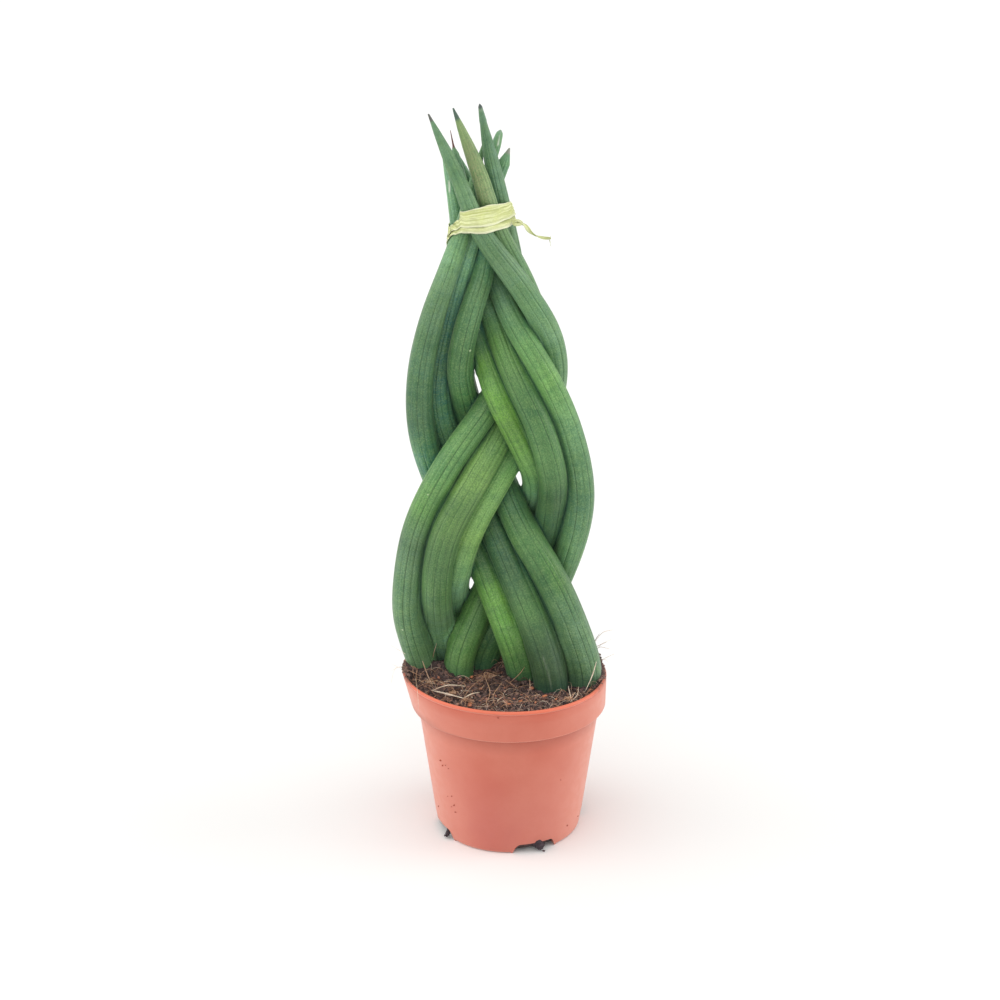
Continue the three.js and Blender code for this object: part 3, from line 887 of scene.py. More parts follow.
@dataclass
class Leaf:
    """One round leaf: a long rod with shallow grooves, which tapers to its tip."""

    node: str
    finish: LeafFinish
    slot: str
    tip: Tip = Tip.SHARP
    seed: int = 1
    grooves: int = 10
    marks: tuple[SkinMark, ...] = ()
    nip: tuple[float, float, float] | None = None
    nip_width: float = 8.0
    nip_depth: float = 1.9
    stations: int = 250
    fullness: float = 0.985
    groove_depth: float = 0.2
    groove_foot: float = 0.16
    groove_edge: float = 0.5
    rib_rise: float = 0.15
    meeting_gap: float = 1.5
    foot_gap: float = 4.2
    overlap: float = 0.07
    foot_height: float = 99.0
    near_by: float = 27.0
    reach_along: int = 11
    unbent_radius: float = 8.0
    around: int = field(init=False)
    from_tip: Points = field(init=False)
    middle: Points = field(init=False)
    radii: Points = field(init=False)
    ring: Points = field(init=False)
    reach: Points = field(init=False)
    depths: Points = field(init=False)
    unbent: Points = field(init=False)
    surface: Points = field(init=False)
    shade: Points = field(init=False)
    line: MiddleLine = field(init=False)

    def round_layout(self) -> tuple[Points, Points, Points]:
        """Where the points of a ring stand, close together at each groove.

        Returns:
            For each point its angle as a share of a turn, how deep in a groove it is, and how far up a rib.
        """
        rng = np.random.default_rng(self.seed)
        turn = (np.arange(self.grooves) + rng.uniform(-0.26, 0.26, self.grooves)) / self.grooves
        turn = np.append(turn, turn[0] + 1)
        strength = rng.uniform(0.2, 1.0, self.grooves)
        strength = np.append(strength, strength[0])
        around = 2 * math.pi * self.line.radii.max() / MM
        shares, depths, rises = [], [], []
        for k in range(self.grooves):
            gap = turn[k + 1] - turn[k]
            near = (0.0, self.groove_foot / around, self.groove_edge / around)
            for offset, deep in zip(near, (1.0, 0.5, 0.0)):
                shares.append(turn[k] + offset)
                depths.append(deep * strength[k])
                rises.append(math.sin(math.pi * offset / gap))
            for share in (0.32, 0.5, 0.68):
                shares.append(turn[k] + share * gap)
                depths.append(0.0)
                rises.append(math.sin(math.pi * share))
            for offset, deep in zip(reversed(near[1:]), (0.0, 0.5)):
                shares.append(turn[k + 1] - offset)
                depths.append(deep * strength[k + 1])
                rises.append(math.sin(math.pi * offset / gap))
        return np.array(shares), np.array(depths), np.array(rises)

    def end_radii(self, from_tip: Points, radii: Points) -> Points:
        """Shapes the thickness near the tip.

        Args:
            from_tip: each station's distance from the tip, in millimetres.
            radii: its radius in the frame.

        Returns:
            Its radius with the tip's own shape.
        """
        shaped = radii * self.fullness
        if self.tip is Tip.DRY:
            shaped = shaped * (1 - 0.68 * (1 - smooth_step(8.0, 14.0, from_tip)))
        elif self.tip is Tip.STUB:
            shaped = np.maximum(shaped, np.minimum(0.4 + 0.34 * from_tip, 3.4) * MM)
        elif self.tip in (Tip.BLUNT, Tip.ROUND):
            end, start, limit = (1.5, 0.9, 2.0) if self.tip is Tip.BLUNT else (2.6, 1.7, 2.7)
            dome = np.sqrt(np.clip(1 - (1 - from_tip / end) ** 2, 0, 1))
            full = np.maximum(shaped, np.minimum(start + from_tip * 0.12, limit) * MM)
            shaped = full * np.where(from_tip < end, np.maximum(dome, 0.25), 1.0)
        return np.maximum(shaped, 0.0002)

    def build(self, frame: dict) -> None:
        """Lays the leaf's surface along the middle line of its node.

        Args:
            frame: the loaded frame.
        """
        self.line = MiddleLine.of(frame["nodes"][self.node])
        count = self.stations
        self.middle = smooth_line(self.line.points, count)
        radii = np.interp(np.linspace(0, 1, count), np.linspace(0, 1, len(self.line.radii)), self.line.radii)
        self.from_tip = length_along(self.middle)
        self.radii = self.end_radii(self.from_tip / MM, radii)
        shares, self.depths, rises = self.round_layout()
        self.around = len(shares)
        angles = shares * 2 * math.pi
        taper = np.clip(self.radii / (6 * MM), 0.12, 1)[:, None]
        sway = np.array([noise.noise(Vector((s * 14, self.seed * 7.3, 0.4))) for s in self.from_tip])[:, None]
        relief = (self.rib_rise * rises - self.groove_depth * self.depths) * MM * taper
        oval = 1 + 0.018 * np.cos(2 * angles + self.seed) + 0.012 * sway
        self.reach = self.radii[:, None] * oval + relief
        self.ring = rings_about(self.middle, angles)
        flat = np.stack([np.cos(angles), np.sin(angles)], axis=1) * self.unbent_radius * MM
        self.unbent = np.zeros((count, self.around, 3))
        self.unbent[:, :, :2] = flat[None] + np.array([self.seed * 0.037, self.seed * 0.021])
        self.unbent[:, :, 2] = self.from_tip[:, None]

    def settle(self, others: Sequence[Leaf]) -> None:
        """Swells the leaf where another lies close, so that the two meet, and notes where painted shade
        darkens it.

        Args:
            others: all the leaves.
        """
        swell = np.zeros(self.reach.shape)
        self.shade = np.zeros(self.reach.shape)
        body = self.middle[:, None] + self.ring * self.reach[:, :, None]
        for other in others:
            if other is self:
                continue
            away = np.linalg.norm(self.middle[:, None] - other.middle[None], axis=2)
            nearest = away.argmin(axis=1)
            rows = np.flatnonzero(away.min(axis=1) < self.near_by * MM)
            if not len(rows):
                continue
            beside = np.arange(-self.reach_along, self.reach_along + 1)
            window = np.clip(nearest[rows, None] + beside, 0, len(other.middle) - 1)
            apart = other.middle[window][:, None] - body[rows][:, :, None]
            distance = np.linalg.norm(apart, axis=3)
            gaps = distance - other.radii[window][:, None] * 1.01
            best = gaps.argmin(axis=2)[:, :, None]
            gap = np.take_along_axis(gaps, best, axis=2)[:, :, 0] / MM
            toward = np.take_along_axis(apart, best[..., None], axis=2)[:, :, 0]
            toward /= np.linalg.norm(toward, axis=2, keepdims=True)
            facing = (self.ring[rows] * toward).sum(axis=2)
            foot = self.foot_height
            low = 1 - smooth_step(foot + 20.0, foot + 42.0, self.middle[rows, 2] / MM)
            limit = (self.meeting_gap + (self.foot_gap - self.meeting_gap) * low)[:, None]
            close = 1 - smooth_step(0.5 * limit, limit, gap)
            facing_it = smooth_step(0.25, 0.85, facing)
            grow = (0.5 * np.maximum(gap, -1.2) + self.overlap) * facing_it * close
            stronger = np.abs(grow) > np.abs(swell[rows])
            swell[rows] = np.where(stronger, grow, swell[rows])
            # painted shade where another leaf lies close and faces this one
            dark = (1 - smooth_step(-0.2, 2.6, gap)) * smooth_step(0.1, 0.9, facing)
            self.shade[rows] = np.maximum(self.shade[rows], dark)
        if self.nip:
            away = np.linalg.norm(body - np.array(self.nip) * MM, axis=2) / MM
            swell -= self.nip_depth * np.exp(-((away / self.nip_width) ** 2))
        reach = (self.reach + swell * MM)[:, :, None]
        self.surface = (self.middle[:, None] + self.ring * reach).reshape(-1, 3)

    def painted_foot_shade(self, points: Points) -> Points:
        """How much painted shade darkens the leaf's skin where it goes into the mix, from 0 to 1."""
        return 0.45 * (1 - smooth_step(self.foot_height - 3.0, self.foot_height + 9.0, points[:, 2] / MM))

    def dress(self, effects: Effects) -> None:
        """Makes the leaf's piece with its finish.

        Args:
            effects: the shared effects.
        """
        points = np.vstack([self.surface, self.middle[:1], self.middle[-1:]])
        values = {
            "unbent": np.vstack([self.unbent.reshape(-1, 3), self.unbent[0, :1], self.unbent[-1, :1]]),
            "line": np.concatenate([np.tile(self.depths, self.stations), [0.0, 0.0]]),
            # deep holds the painted shade between leaves and at the foot
            "deep": np.maximum(np.append(self.shade.ravel(), [0.0, 1.0]), self.painted_foot_shade(points)),
        }
        for kind in Mark:
            covers = [mark.cover(points) for mark in self.marks if mark.kind is kind]
            values[kind.value] = np.max(covers, axis=0) if covers else np.zeros(len(points))
        pile = MeshPile()
        pile.add(points, bar_faces(self.stations, self.around), **values)
        settle_piece(pile.piece("green_" + self.node), self.finish.material(effects), self.slot, self.node)


@dataclass
class Plait:
    """The nine leaves, three to a strand."""

    effects: Effects
    leaves: list[Leaf] = field(default_factory=list)

    def plan(self) -> None:
        """Lists the leaves with their own greens, tips and marks.

        A green holds from its place along the leaf, from 0 at the tip to 1, with a brightness that is partly
        the leaf's own and partly painted light on its shaded stretches.
        A look gives the tip, the colour and length of its dry end, a seed and the number of grooves.
        """
        cool, grey, mid, blue, shade = Green.COOL, Green.GREY, Green.MID, Green.BLUE, Green.SHADE
        deep, light, olive, young, fresh = Green.DEEP, Green.LIGHT, Green.OLIVE, Green.YOUNG, Green.FRESH
        yellow = Green.YELLOW
        greens = {
            "a_1": (
                (0.0, cool, 0.94), (0.09, cool, 1.05), (0.25, grey, 1.03), (0.5, young, 1.0),
                (0.59, young, 1.16), (0.66, fresh, 1.0), (0.72, grey, 0.78), (0.79, grey, 1.03),
                (0.94, grey, 1.1),
            ),
            "a_2": (
                (0.0, cool, 1.1), (0.02, olive, 1.06), (0.09, olive, 1.18), (0.25, mid, 1.04),
                (0.41, young, 1.0), (0.6, light, 1.13), (0.67, light, 0.88), (0.74, young, 0.66),
                (0.81, young, 0.8), (0.88, grey, 1.03), (0.95, cool, 1.9),
            ),
            "a_3": (
                (0.0, cool, 1.03), (0.09, grey, 1.08), (0.23, grey, 0.92), (0.31, mid, 1.12),
                (0.38, grey, 1.22), (0.5, mid, 1.1), (0.6, young, 1.5), (0.69, light, 1.4),
                (0.75, light, 1.25), (0.83, cool, 1.95), (0.9, cool, 2.0), (1.0, mid, 1.4),
            ),
            "b_1": (
                (0.0, mid, 1.05), (0.13, grey, 1.25), (0.165, grey, 1.5), (0.2, grey, 1.1),
                (0.25, grey, 0.92), (0.35, blue, 0.92), (0.43, blue, 0.78), (0.5, shade, 1.65),
                (0.6, deep, 1.0), (0.71, deep, 0.95), (0.75, yellow, 1.2), (0.8, yellow, 1.36),
                (0.84, fresh, 1.05), (0.9, deep, 1.1),
            ),
            "b_2": (
                (0.0, cool, 1.4), (0.12, cool, 1.5), (0.16, cool, 2.0), (0.27, shade, 1.6),
                (0.37, shade, 1.3), (0.44, shade, 1.75), (0.52, cool, 1.9), (0.6, blue, 1.1),
                (0.72, blue, 0.74), (0.79, young, 0.8), (0.86, mid, 0.42), (0.95, mid, 0.42),
            ),
            "b_3": (
                (0.0, cool, 1.5), (0.12, cool, 1.5), (0.16, shade, 2.0), (0.21, mid, 0.95),
                (0.31, deep, 0.98), (0.38, deep, 1.2), (0.5, blue, 1.0), (0.6, blue, 0.95),
                (0.66, young, 0.95), (0.73, deep, 0.92), (0.81, grey, 0.94), (1.0, grey, 0.88),
            ),
            "c_1": (
                (0.0, cool, 1.7), (0.07, cool, 1.65), (0.15, grey, 1.1), (0.27, shade, 1.05),
                (0.32, yellow, 0.95), (0.36, yellow, 1.1), (0.42, yellow, 0.8), (0.49, fresh, 1.15),
                (0.57, cool, 2.0), (0.68, deep, 1.0), (0.8, fresh, 0.86), (0.87, fresh, 1.0),
            ),
            "c_2": (
                (0.0, cool, 1.2), (0.22, mid, 1.2), (0.28, cool, 2.0), (0.33, fresh, 1.0),
                (0.37, fresh, 0.86), (0.44, deep, 0.92), (0.51, young, 0.98), (0.58, deep, 0.72),
                (0.66, blue, 0.8), (0.83, deep, 1.0),
            ),
            "c_3": (
                (0.0, cool, 1.2), (0.22, cool, 1.15), (0.31, young, 1.18), (0.37, fresh, 1.2),
                (0.45, mid, 1.24), (0.52, mid, 1.06), (0.58, blue, 1.02), (0.66, mid, 1.12),
                (0.83, mid, 1.0),
            ),
        }
        looks = (
            ("a_1", Tip.BLUNT, "4a5650", 2.4, 3, 12),
            ("a_2", Tip.SHARP, "4d6356", 6.4, 5, 13),
            ("a_3", Tip.SHARP, "5f625b", 4.2, 8, 12),
            ("b_1", Tip.SHARP, "6f6a5c", 2.0, 13, 11),
            ("b_2", Tip.ROUND, "7d9a80", 1.2, 21, 11),
            ("b_3", Tip.STUB, "93988a", 3.0, 34, 13),
            ("c_1", Tip.SHARP, "6f6a5c", 2.0, 55, 11),
            ("c_2", Tip.DRY, "6b433f", 9.5, 89, 12),
            ("c_3", Tip.SHARP, "93a88c", 3.0, 144, 12),
        )
        for name, tip, dry, length, seed, grooves in looks:
            slot = "bright_leaf" if name in ("b_1", "c_1") else "leaf"
            finish = LeafFinish(f"leaf_skin_{name}", greens[name], dry, length)
            nip = (-19.0, -12.0, 290.0) if name == "c_1" else None
            leaf = Leaf(f"leaf_{name}", finish, slot, tip, seed, grooves, self.marks_on(name), nip)
            self.leaves.append(leaf)

    def marks_on(self, name: str) -> tuple[SkinMark, ...]:
        """The marks on one leaf's skin.

        Args:
            name: the leaf's name.

        Returns:
            Its marks: sap streaks, scars, brighter patches and a pinkish flush.
        """
        pale, fresh, blush = Mark.PALE, Mark.FRESH, Mark.BLUSH
        marks = {
            "a_1": (
                SkinMark(pale, ((-16.6, -7.6, 434.2), (-15.6, -7.8, 434.4), (-14.7, -7.4, 434.8)), 0.6, 0.9),
                SkinMark(pale, ((-22.0, -27.6, 198.0), (-19.6, -27.4, 197.6)), 0.5, 0.5),
            ),
            "a_2": (SkinMark(blush, ((-23.0, -16.5, 414.0), (-14.0, -18.5, 386.0)), 6.0, 0.4),),
            "b_1": (
                SkinMark(fresh, ((-10.0, -7.0, 146.0), (-2.5, -11.5, 128.0), (0.8, -12.0, 118.0)), 6.5, 0.5),
            ),
            "b_2": (
                SkinMark(pale, ((-5.0, 3.4, 418.5), (-5.6, 3.0, 415.5), (-6.2, 2.8, 412.5)), 0.5, 0.9),
                SkinMark(pale, ((19.6, -25.0, 119.5), (23.1, -25.3, 106.9), (25.0, -25.6, 97.5)), 0.45, 0.14),
            ),
            "b_3": (SkinMark(fresh, ((24.5, -14.9, 174.7), (29.1, -17.6, 164.7)), 6.5, 0.45),),
            "c_1": (
                SkinMark(pale, ((-32.8, -0.6, 393.6), (-32.5, -1.0, 390.3), (-32.6, -1.2, 387.6)), 0.45, 0.9),
                SkinMark(fresh, ((-6.8, -19.6, 277.4), (0.4, -21.5, 260.4), (6.0, -18.6, 246.3)), 6.0, 0.4),
                SkinMark(fresh, ((-23.8, -1.1, 118.9), (-27.4, -3.9, 110.6)), 7.0, 0.5),
            ),
            "c_3": (SkinMark(pale, ((-29.6, 11.4, 407.8), (-29.2, 11.2, 404.6)), 0.8, 0.5),),
        }
        return marks.get(name, ())

    def build(self, frame: dict) -> None:
        """Makes the leaves' pieces.

        Args:
            frame: the loaded frame.
        """
        self.plan()
        for leaf in self.leaves:
            leaf.build(frame)
        for leaf in self.leaves:
            leaf.settle(self.leaves)
            leaf.dress(self.effects)

    def skin_between(self, low: float, high: float) -> Points:
        """The points of all the leaves between two heights."""
        points = np.vstack([leaf.surface for leaf in self.leaves])
        return points[(points[:, 2] > low) & (points[:, 2] < high)]

    def stems_at(self, height: float) -> list[tuple[float, float, float]]:
        """Each leaf's place and radius at a height."""
        return [leaf.line.at_height(height) for leaf in self.leaves]


# ------------------------------------------------------------------------------------------- pot


@dataclass
class NurseryPot:
    """A thin round nursery pot with a deep band under its lip, on a foot with four raised drain pockets."""

    effects: Effects
    height: float = 100.0
    rim_radius: float = 60.0
    band_height: float = 21.0
    band_foot_radius: float = 57.2
    band_flare: float = 0.15
    shoulder_radius: float = 53.4
    foot_radius: float = 42.6
    wall_flare: float = 0.137
    foot_corner: float = 2.4
    wall: float = 1.0
    lip_thickness: float = 1.8
    sides: int = 256
    rim_push: float = -2.8
    rim_tilt: float = 1.8
    front_lift: float = 1.8
    pockets: int = 4
    first_pocket: float = 21.5
    pocket_half_width: float = 13.2
    pocket_roof_half_width: float = 9.0
    pocket_height: float = 6.0
    pocket_inner: float = 25.0
    drain_radius: float = 4.0
    drain_place: float = 36.0
    sharp_angle: float = 38.0

    def yield_rim(self, points: Points) -> Points:
        """Pushes the soft rim to one side, lower there, and lifts its front.

        Args:
            points: points in millimetres.

        Returns:
            The moved points.
        """
        moved = points.copy()
        share = np.clip((points[:, 2] - (self.height - self.band_height)) / self.band_height, 0, 1)
        moved[:, 2] -= share * self.rim_tilt * points[:, 0] / self.rim_radius
        moved[:, 0] += share * self.rim_push
        lifted = smooth_step(0.35 * self.height, 0.75 * self.height, points[:, 2])
        moved[:, 2] -= lifted * self.front_lift * points[:, 1] / self.rim_radius
        return moved

    def corner(
        self, centre: tuple[float, float], radius: float, start: float, end: float
    ) -> list[tuple[float, float]]:
        """A rounded corner of the outline.

        Args:
            centre: the arc's centre, as radius and height.
            radius: the arc's radius.
            start: the angle it starts at, in degrees.
            end: the angle it ends at.

        Returns:
            Six points on the arc.
        """
        angles = np.radians(np.linspace(start, end, 6))
        return [(centre[0] + radius * math.cos(a), centre[1] + radius * math.sin(a)) for a in angles]

    def outline(self) -> list[tuple[float, float]]:
        """The pot's section: up the outside, over the lip and down the inside.

        Returns:
            Points of radius and height in millimetres.
        """
        foot, top = self.height - self.band_height, self.height
        line = [(0.0, 0.0), (20.0, 0.0)]
        corner = self.foot_corner
        line += self.corner((self.foot_radius - corner, corner), corner, -90, -5)
        line += [(self.foot_radius + self.wall_flare * z, z) for z in (12.0, 25.0, 40.0, 55.0, 68.0)]
        line += [(self.shoulder_radius - 0.1, foot - 2.2)]
        line += self.corner((self.shoulder_radius + 0.75, foot - 0.75), 0.75, 180, 90)
        line += self.corner((self.band_foot_radius - 1.1, foot + 1.1), 1.1, -80, 0)
        band = (foot + 6, foot + 12, top - 3.4)
        line += [(self.band_foot_radius + self.band_flare * (z - foot - 1), z) for z in band]
        line += [(self.rim_radius - 0.75, top - 2.5)]
        line += self.corner((self.rim_radius - 0.9, top - 1.3), 0.9, -40, 40)
        line += self.corner((self.rim_radius - 0.95, top - 0.75), 0.75, 50, 130)
        line += [(self.rim_radius - self.lip_thickness, top - 1.3)]
        inner = self.wall
        line += [(self.rim_radius - 0.7 - inner, top - 2.6)]
        line += [(self.band_foot_radius - inner - 0.4, foot + 1.6)]
        line += [(self.shoulder_radius - inner, foot - 0.4), (self.foot_radius - inner + 0.2, 4.0)]
        line += [(self.foot_radius - 3.5, inner + 0.2), (0.0, inner + 0.2)]
        return line

    def turned(self, outline: Sequence[tuple[float, float]], name: str) -> bpy.types.Object:
        """Turns an outline round the pot's axis.

        Args:
            outline: its points, the first and last on the axis.
            name: the object's name.

        Returns:
            A closed body in metres.
        """
        rows = rows_round(outline[1:-1], self.sides)
        points = self.yield_rim(np.vstack([*rows, [[0, 0, outline[0][1]]], [[0, 0, outline[-1][1]]]]))
        pile = MeshPile()
        pile.add(points * MM, bar_faces(len(rows), self.sides))
        return pile.piece(name)

    def pocket(self, angle: float, margin: float, start: float, end: float) -> bpy.types.Object:
        """The space of a drain pocket, grown by a margin.

        Args:
            angle: where it stands, in degrees from -Y towards +X.
            margin: how much it is grown, in millimetres.
            start: its inner end, from the axis.
            end: its outer end.

        Returns:
            A closed body in metres.
        """
        foot, roof = self.pocket_half_width + margin, self.pocket_roof_half_width + margin
        top = self.pocket_height + margin
        side = [(foot, -2.0), (foot, 0.0)]
        for t in np.linspace(0, 1, 9)[1:]:
            pull = 2 * t * (1 - t)
            side.append(((1 - t) ** 2 * foot + pull * (roof + 3) + t**2 * roof, pull * top + t**2 * top))
        section = side + [(-x, z) for x, z in reversed(side)]
        rows = [[(x, -reach, z) for x, z in section] for reach in (start, end)]
        count = len(section)
        faces = [tuple(range(count - 1, -1, -1)), tuple(range(count, 2 * count))]
        faces += [(k, (k + 1) % count, count + (k + 1) % count, count + k) for k in range(count)]
        turn = np.array(Matrix.Rotation(math.radians(angle), 3, "Z"))
        pile = MeshPile()
        pile.add(np.array(rows[0] + rows[1]) @ turn.T * MM, faces)
        return pile.piece("pocket_block")

    def combine(self, pot: bpy.types.Object, tool: bpy.types.Object, operation: str) -> None:
        """Joins a body to the pot or cuts it out, and clears the body away.

        Args:
            pot: the pot.
            tool: the other body.
            operation: UNION, INTERSECT or DIFFERENCE.
        """
        modifier = pot.modifiers.new("shape", "BOOLEAN")
        modifier.operation = operation
        modifier.solver = "EXACT"
        modifier.object = tool
        bpy.context.view_layer.update()
        shaped = bpy.data.meshes.new_from_object(pot.evaluated_get(bpy.context.evaluated_depsgraph_get()))
        pot.modifiers.clear()
        pot.data = shaped
        bpy.data.objects.remove(tool)

    def build(self) -> None:
        """Makes the pot: the turned body with its pockets put in, then cut open."""
        pot = self.turned(self.outline(), "nursery_pot")
        outer = self.foot_radius + 8
        angles = [self.first_pocket + k * 360 / self.pockets for k in range(self.pockets)]
        for angle in angles:
            block = self.pocket(angle, self.wall, self.pocket_inner - self.wall, outer)
            limit = [(0.0, 0.1), (self.foot_radius - 0.6, 0.1), (self.foot_radius + 0.6, 10.0), (0.0, 10.0)]
            self.combine(block, self.turned(limit, "limit"), "INTERSECT")
            self.combine(pot, block, "UNION")
        for angle in angles:
            self.combine(pot, self.pocket(angle, 0.0, self.pocket_inner, outer), "DIFFERENCE")
            self.combine(pot, self.drain(angle), "DIFFERENCE")
        pot.data.polygons.foreach_set("use_smooth", [True] * len(pot.data.polygons))
        pot.data.set_sharp_from_angle(angle=math.radians(self.sharp_angle))
        self.mark_soil_and_painted_light(pot.data)
        settle_piece(pot, PotFinish().material(self.effects), "pot", "pot")

    def mark_soil_and_painted_light(self, mesh: bpy.types.Mesh) -> None:
        """Stores where the lip gets its painted highlight, where the painted shadow under the band lies, and
        where bits of the mix cling to the band.

        Args:
            mesh: the pot's mesh.
        """
        places = np.empty(len(mesh.vertices) * 3)
        mesh.vertices.foreach_get("co", places)
        x, y, rise = places.reshape(-1, 3).T / MM
        rise = rise + (self.rim_tilt * x + self.front_lift * y) / self.rim_radius
        above = rise - (self.height - self.band_height)
        # where the lip gets its painted highlight
        store_value(mesh, "lip", smooth_step(self.height - 2.0, self.height - 1.2, rise))
        ends = smooth_step(50.0, 58.5, np.abs(x - self.rim_push))
        on_lip = ends * smooth_step(self.height - 2.4, self.height - 1.0, rise)
        reach = np.hypot(x - np.clip(above / self.band_height, 0, 1) * self.rim_push, y)
        inside = reach < self.band_foot_radius + self.band_flare * above - 0.5
        on_inside = 0.8 * ends * inside * smooth_step(self.height - 16.0, self.height - 9.0, rise)
        store_value(mesh, "soiled", np.maximum(on_lip, on_inside))
        # painted shadow: strongest just under the band, fading over 9 mm
        store_value(mesh, "band_shadow", (1 - smooth_step(0.0, 9.0, -above)) * smooth_step(-0.2, 0.3, -above))

    def drain(self, angle: float) -> bpy.types.Object:
        """The hole in a pocket's roof.

        Args:
            angle: where the pocket stands, in degrees from -Y towards +X.

        Returns:
            A closed body in metres.
        """
        pile = MeshPile()
        turn = math.radians(angle)
        at = np.array([math.sin(turn), -math.cos(turn), 0.0]) * self.drain_place
        line = np.array([at + [0, 0, z] for z in (3.0, 4.0, 9.0, 10.0)]) * MM
        pile.add_tube(line, np.full(4, self.drain_radius * MM), 24)
        return pile.piece("drain_block")

    def inside_radius(self, height: float) -> float:
        """The size of the pot's inside.

        Args:
            height: the height in millimetres.

        Returns:
            The radius in millimetres.
        """
        foot = self.height - self.band_height
        heights = (4.0, foot - 0.4, foot + 1.6, self.height - 2.6)
        radii = (self.foot_radius + 0.2, self.shoulder_radius)
        radii += (self.band_foot_radius - 0.4, self.rim_radius - 0.7)
        return float(np.interp(height, heights, radii)) - self.wall

    def outside_radius(self, height: float) -> float:
        """The size of the pot's outside.

        Args:
            height: the height in millimetres.

        Returns:
            The radius in millimetres.
        """
        above = height - (self.height - self.band_height)
        if above > 0:
            return self.band_foot_radius + self.band_flare * above
        return self.foot_radius + self.wall_flare * height


# ------------------------------------------------------------------------------------------- potting mix


@dataclass(frozen=True)
class Fibre:
    """A long coir fibre: the places it passes in millimetres, its thickness and how pale it is."""

    route: tuple[tuple[float, float, float], ...]
    thickness: float
    tone: float


@dataclass(frozen=True)
class LongFibres:
    """The fibres that stand out one by one, from the left of the pot round its front to the right."""

    left: tuple[Fibre, ...] = (
        Fibre(((-50, -18, 113), (-47, -17, 103), (-44, -19, 97)), 0.6, 0.7),
        Fibre(((-56, 2, 103), (-56, -7, 101), (-55, -8, 97)), 0.35, 0.45),
        Fibre(((-53, -8, 104), (-54, -12, 100), (-53, -25, 99)), 0.4, 0.5),
        Fibre(((-61, -2, 101), (-55, -9, 101), (-49, -8, 97)), 0.4, 0.55),
        Fibre(((-55, -6, 98), (-53, -30, 102), (-52, -41, 100), (-52, -38, 91)), 0.22, 0.95),
        Fibre(((-44, -26, 98), (-36, -26, 101), (-29, -24, 100), (-24, -19, 97)), 0.85, 0.9),
        Fibre(((-45, -24, 97), (-36, -33, 99), (-26, -37, 98)), 1.1, 0.95),
        Fibre(((-26, -37, 98), (-22, -36, 100), (-17, -31, 99)), 0.9, 0.85),
        Fibre(((-26, -37, 98), (-22, -31, 102), (-12, -16, 104)), 0.4, 0.5),
        Fibre(((-37, -15, 98), (-31, -18, 101), (-25, -18, 98)), 0.3, 0.45),
        Fibre(((-42, -6, 119), (-44, -1, 110), (-45, 7, 101)), 0.4, 0.75),
        Fibre(((-69, 6, 112), (-60, -2, 110), (-51, 12, 98)), 0.24, 0.95),
        Fibre(((-69, 1, 98), (-63, -4, 103), (-58, 2, 98)), 0.2, 1.0),
        Fibre(((-69, -5, 93), (-66, -6, 103), (-59, 4, 98)), 0.2, 1.0),
        Fibre(((-69, -2, 104), (-64, -8, 104), (-58, -8, 99)), 0.2, 1.0),
        Fibre(((-47, -22, 98), (-45, -28, 99), (-42, -32, 97)), 0.35, 0.4),
        Fibre(((-42, -24, 98), (-40, -20, 101), (-37, -14, 97)), 0.35, 0.5),
    )
    front: tuple[Fibre, ...] = (
        Fibre(((-14, -18, 103), (-11, -31, 100), (-12, -38, 97)), 0.5, 0.6),
        Fibre(((-4, -24, 102), (-9, -35, 99), (-8, -47, 98)), 0.45, 0.6),
        Fibre(((-25, -39, 99), (-27, -41, 98), (-28, -43, 97)), 0.35, 0.6),
        Fibre(((-25, -39, 99), (-25, -42, 98), (-25, -45, 97)), 0.35, 0.6),
        Fibre(((-25, -39, 99), (-23, -41, 98), (-21, -42, 97)), 0.35, 0.6),
        Fibre(((-16, -18, 102), (-13, -17, 105), (-11, -19, 102)), 0.35, 0.4),
        Fibre(((9, -22, 111), (6, -19, 105), (0, -17, 98)), 0.4, 0.6),
        Fibre(((-2, -19, 101), (2, -25, 101), (6, -24, 97)), 0.45, 0.5),
        Fibre(((12, -25, 105), (12, -28, 101), (11, -29, 97)), 0.35, 0.7),
        Fibre(((-3, -37, 99), (-6, -41, 99), (-7, -41, 97)), 0.45, 0.85),
        Fibre(((7, -27, 97), (10, -37, 100), (13, -40, 97)), 0.35, 0.55),
        Fibre(((4, -41, 97), (10, -43, 99), (18, -39, 97)), 0.35, 0.6),
    )
    right: tuple[Fibre, ...] = (
        Fibre(((34, -33, 104), (35, -36, 100), (36, -39, 97)), 0.45, 0.9),
        Fibre(((40, -32, 103), (39, -37, 100), (35, -40, 97)), 0.45, 0.85),
        Fibre(((38, -35, 101), (36, -38, 99), (34, -39, 97)), 0.4, 0.7),
        Fibre(((27, -40, 97), (32, -40, 99), (38, -32, 99)), 0.4, 0.6),
        Fibre(((50, -32, 119), (48, -27, 108), (44, -26, 97)), 0.66, 0.95),
        Fibre(((44, -31, 97), (47, -27, 99), (49, -24, 97)), 0.3, 0.5),
        Fibre(((53, 1, 122), (51, 4, 117), (49, 11, 108)), 0.34, 0.25),
        Fibre(((57, 2, 116), (51, 6, 111), (48, 12, 104)), 0.3, 0.55),
        Fibre(((61, 9, 121), (55, 9, 119), (50, 11, 111)), 0.24, 0.75),
        Fibre(((59, 6, 110), (53, 8, 110), (49, 13, 102)), 0.26, 0.6),
        Fibre(((62, 5, 107), (57, 4, 105), (53, 8, 100)), 0.22, 0.9),
        Fibre(((60, 6, 116), (54, 5, 113), (50, 11, 103)), 0.22, 0.9),
        Fibre(((59, 4, 102), (56, 4, 104), (52, 8, 100)), 0.22, 0.9),
    )


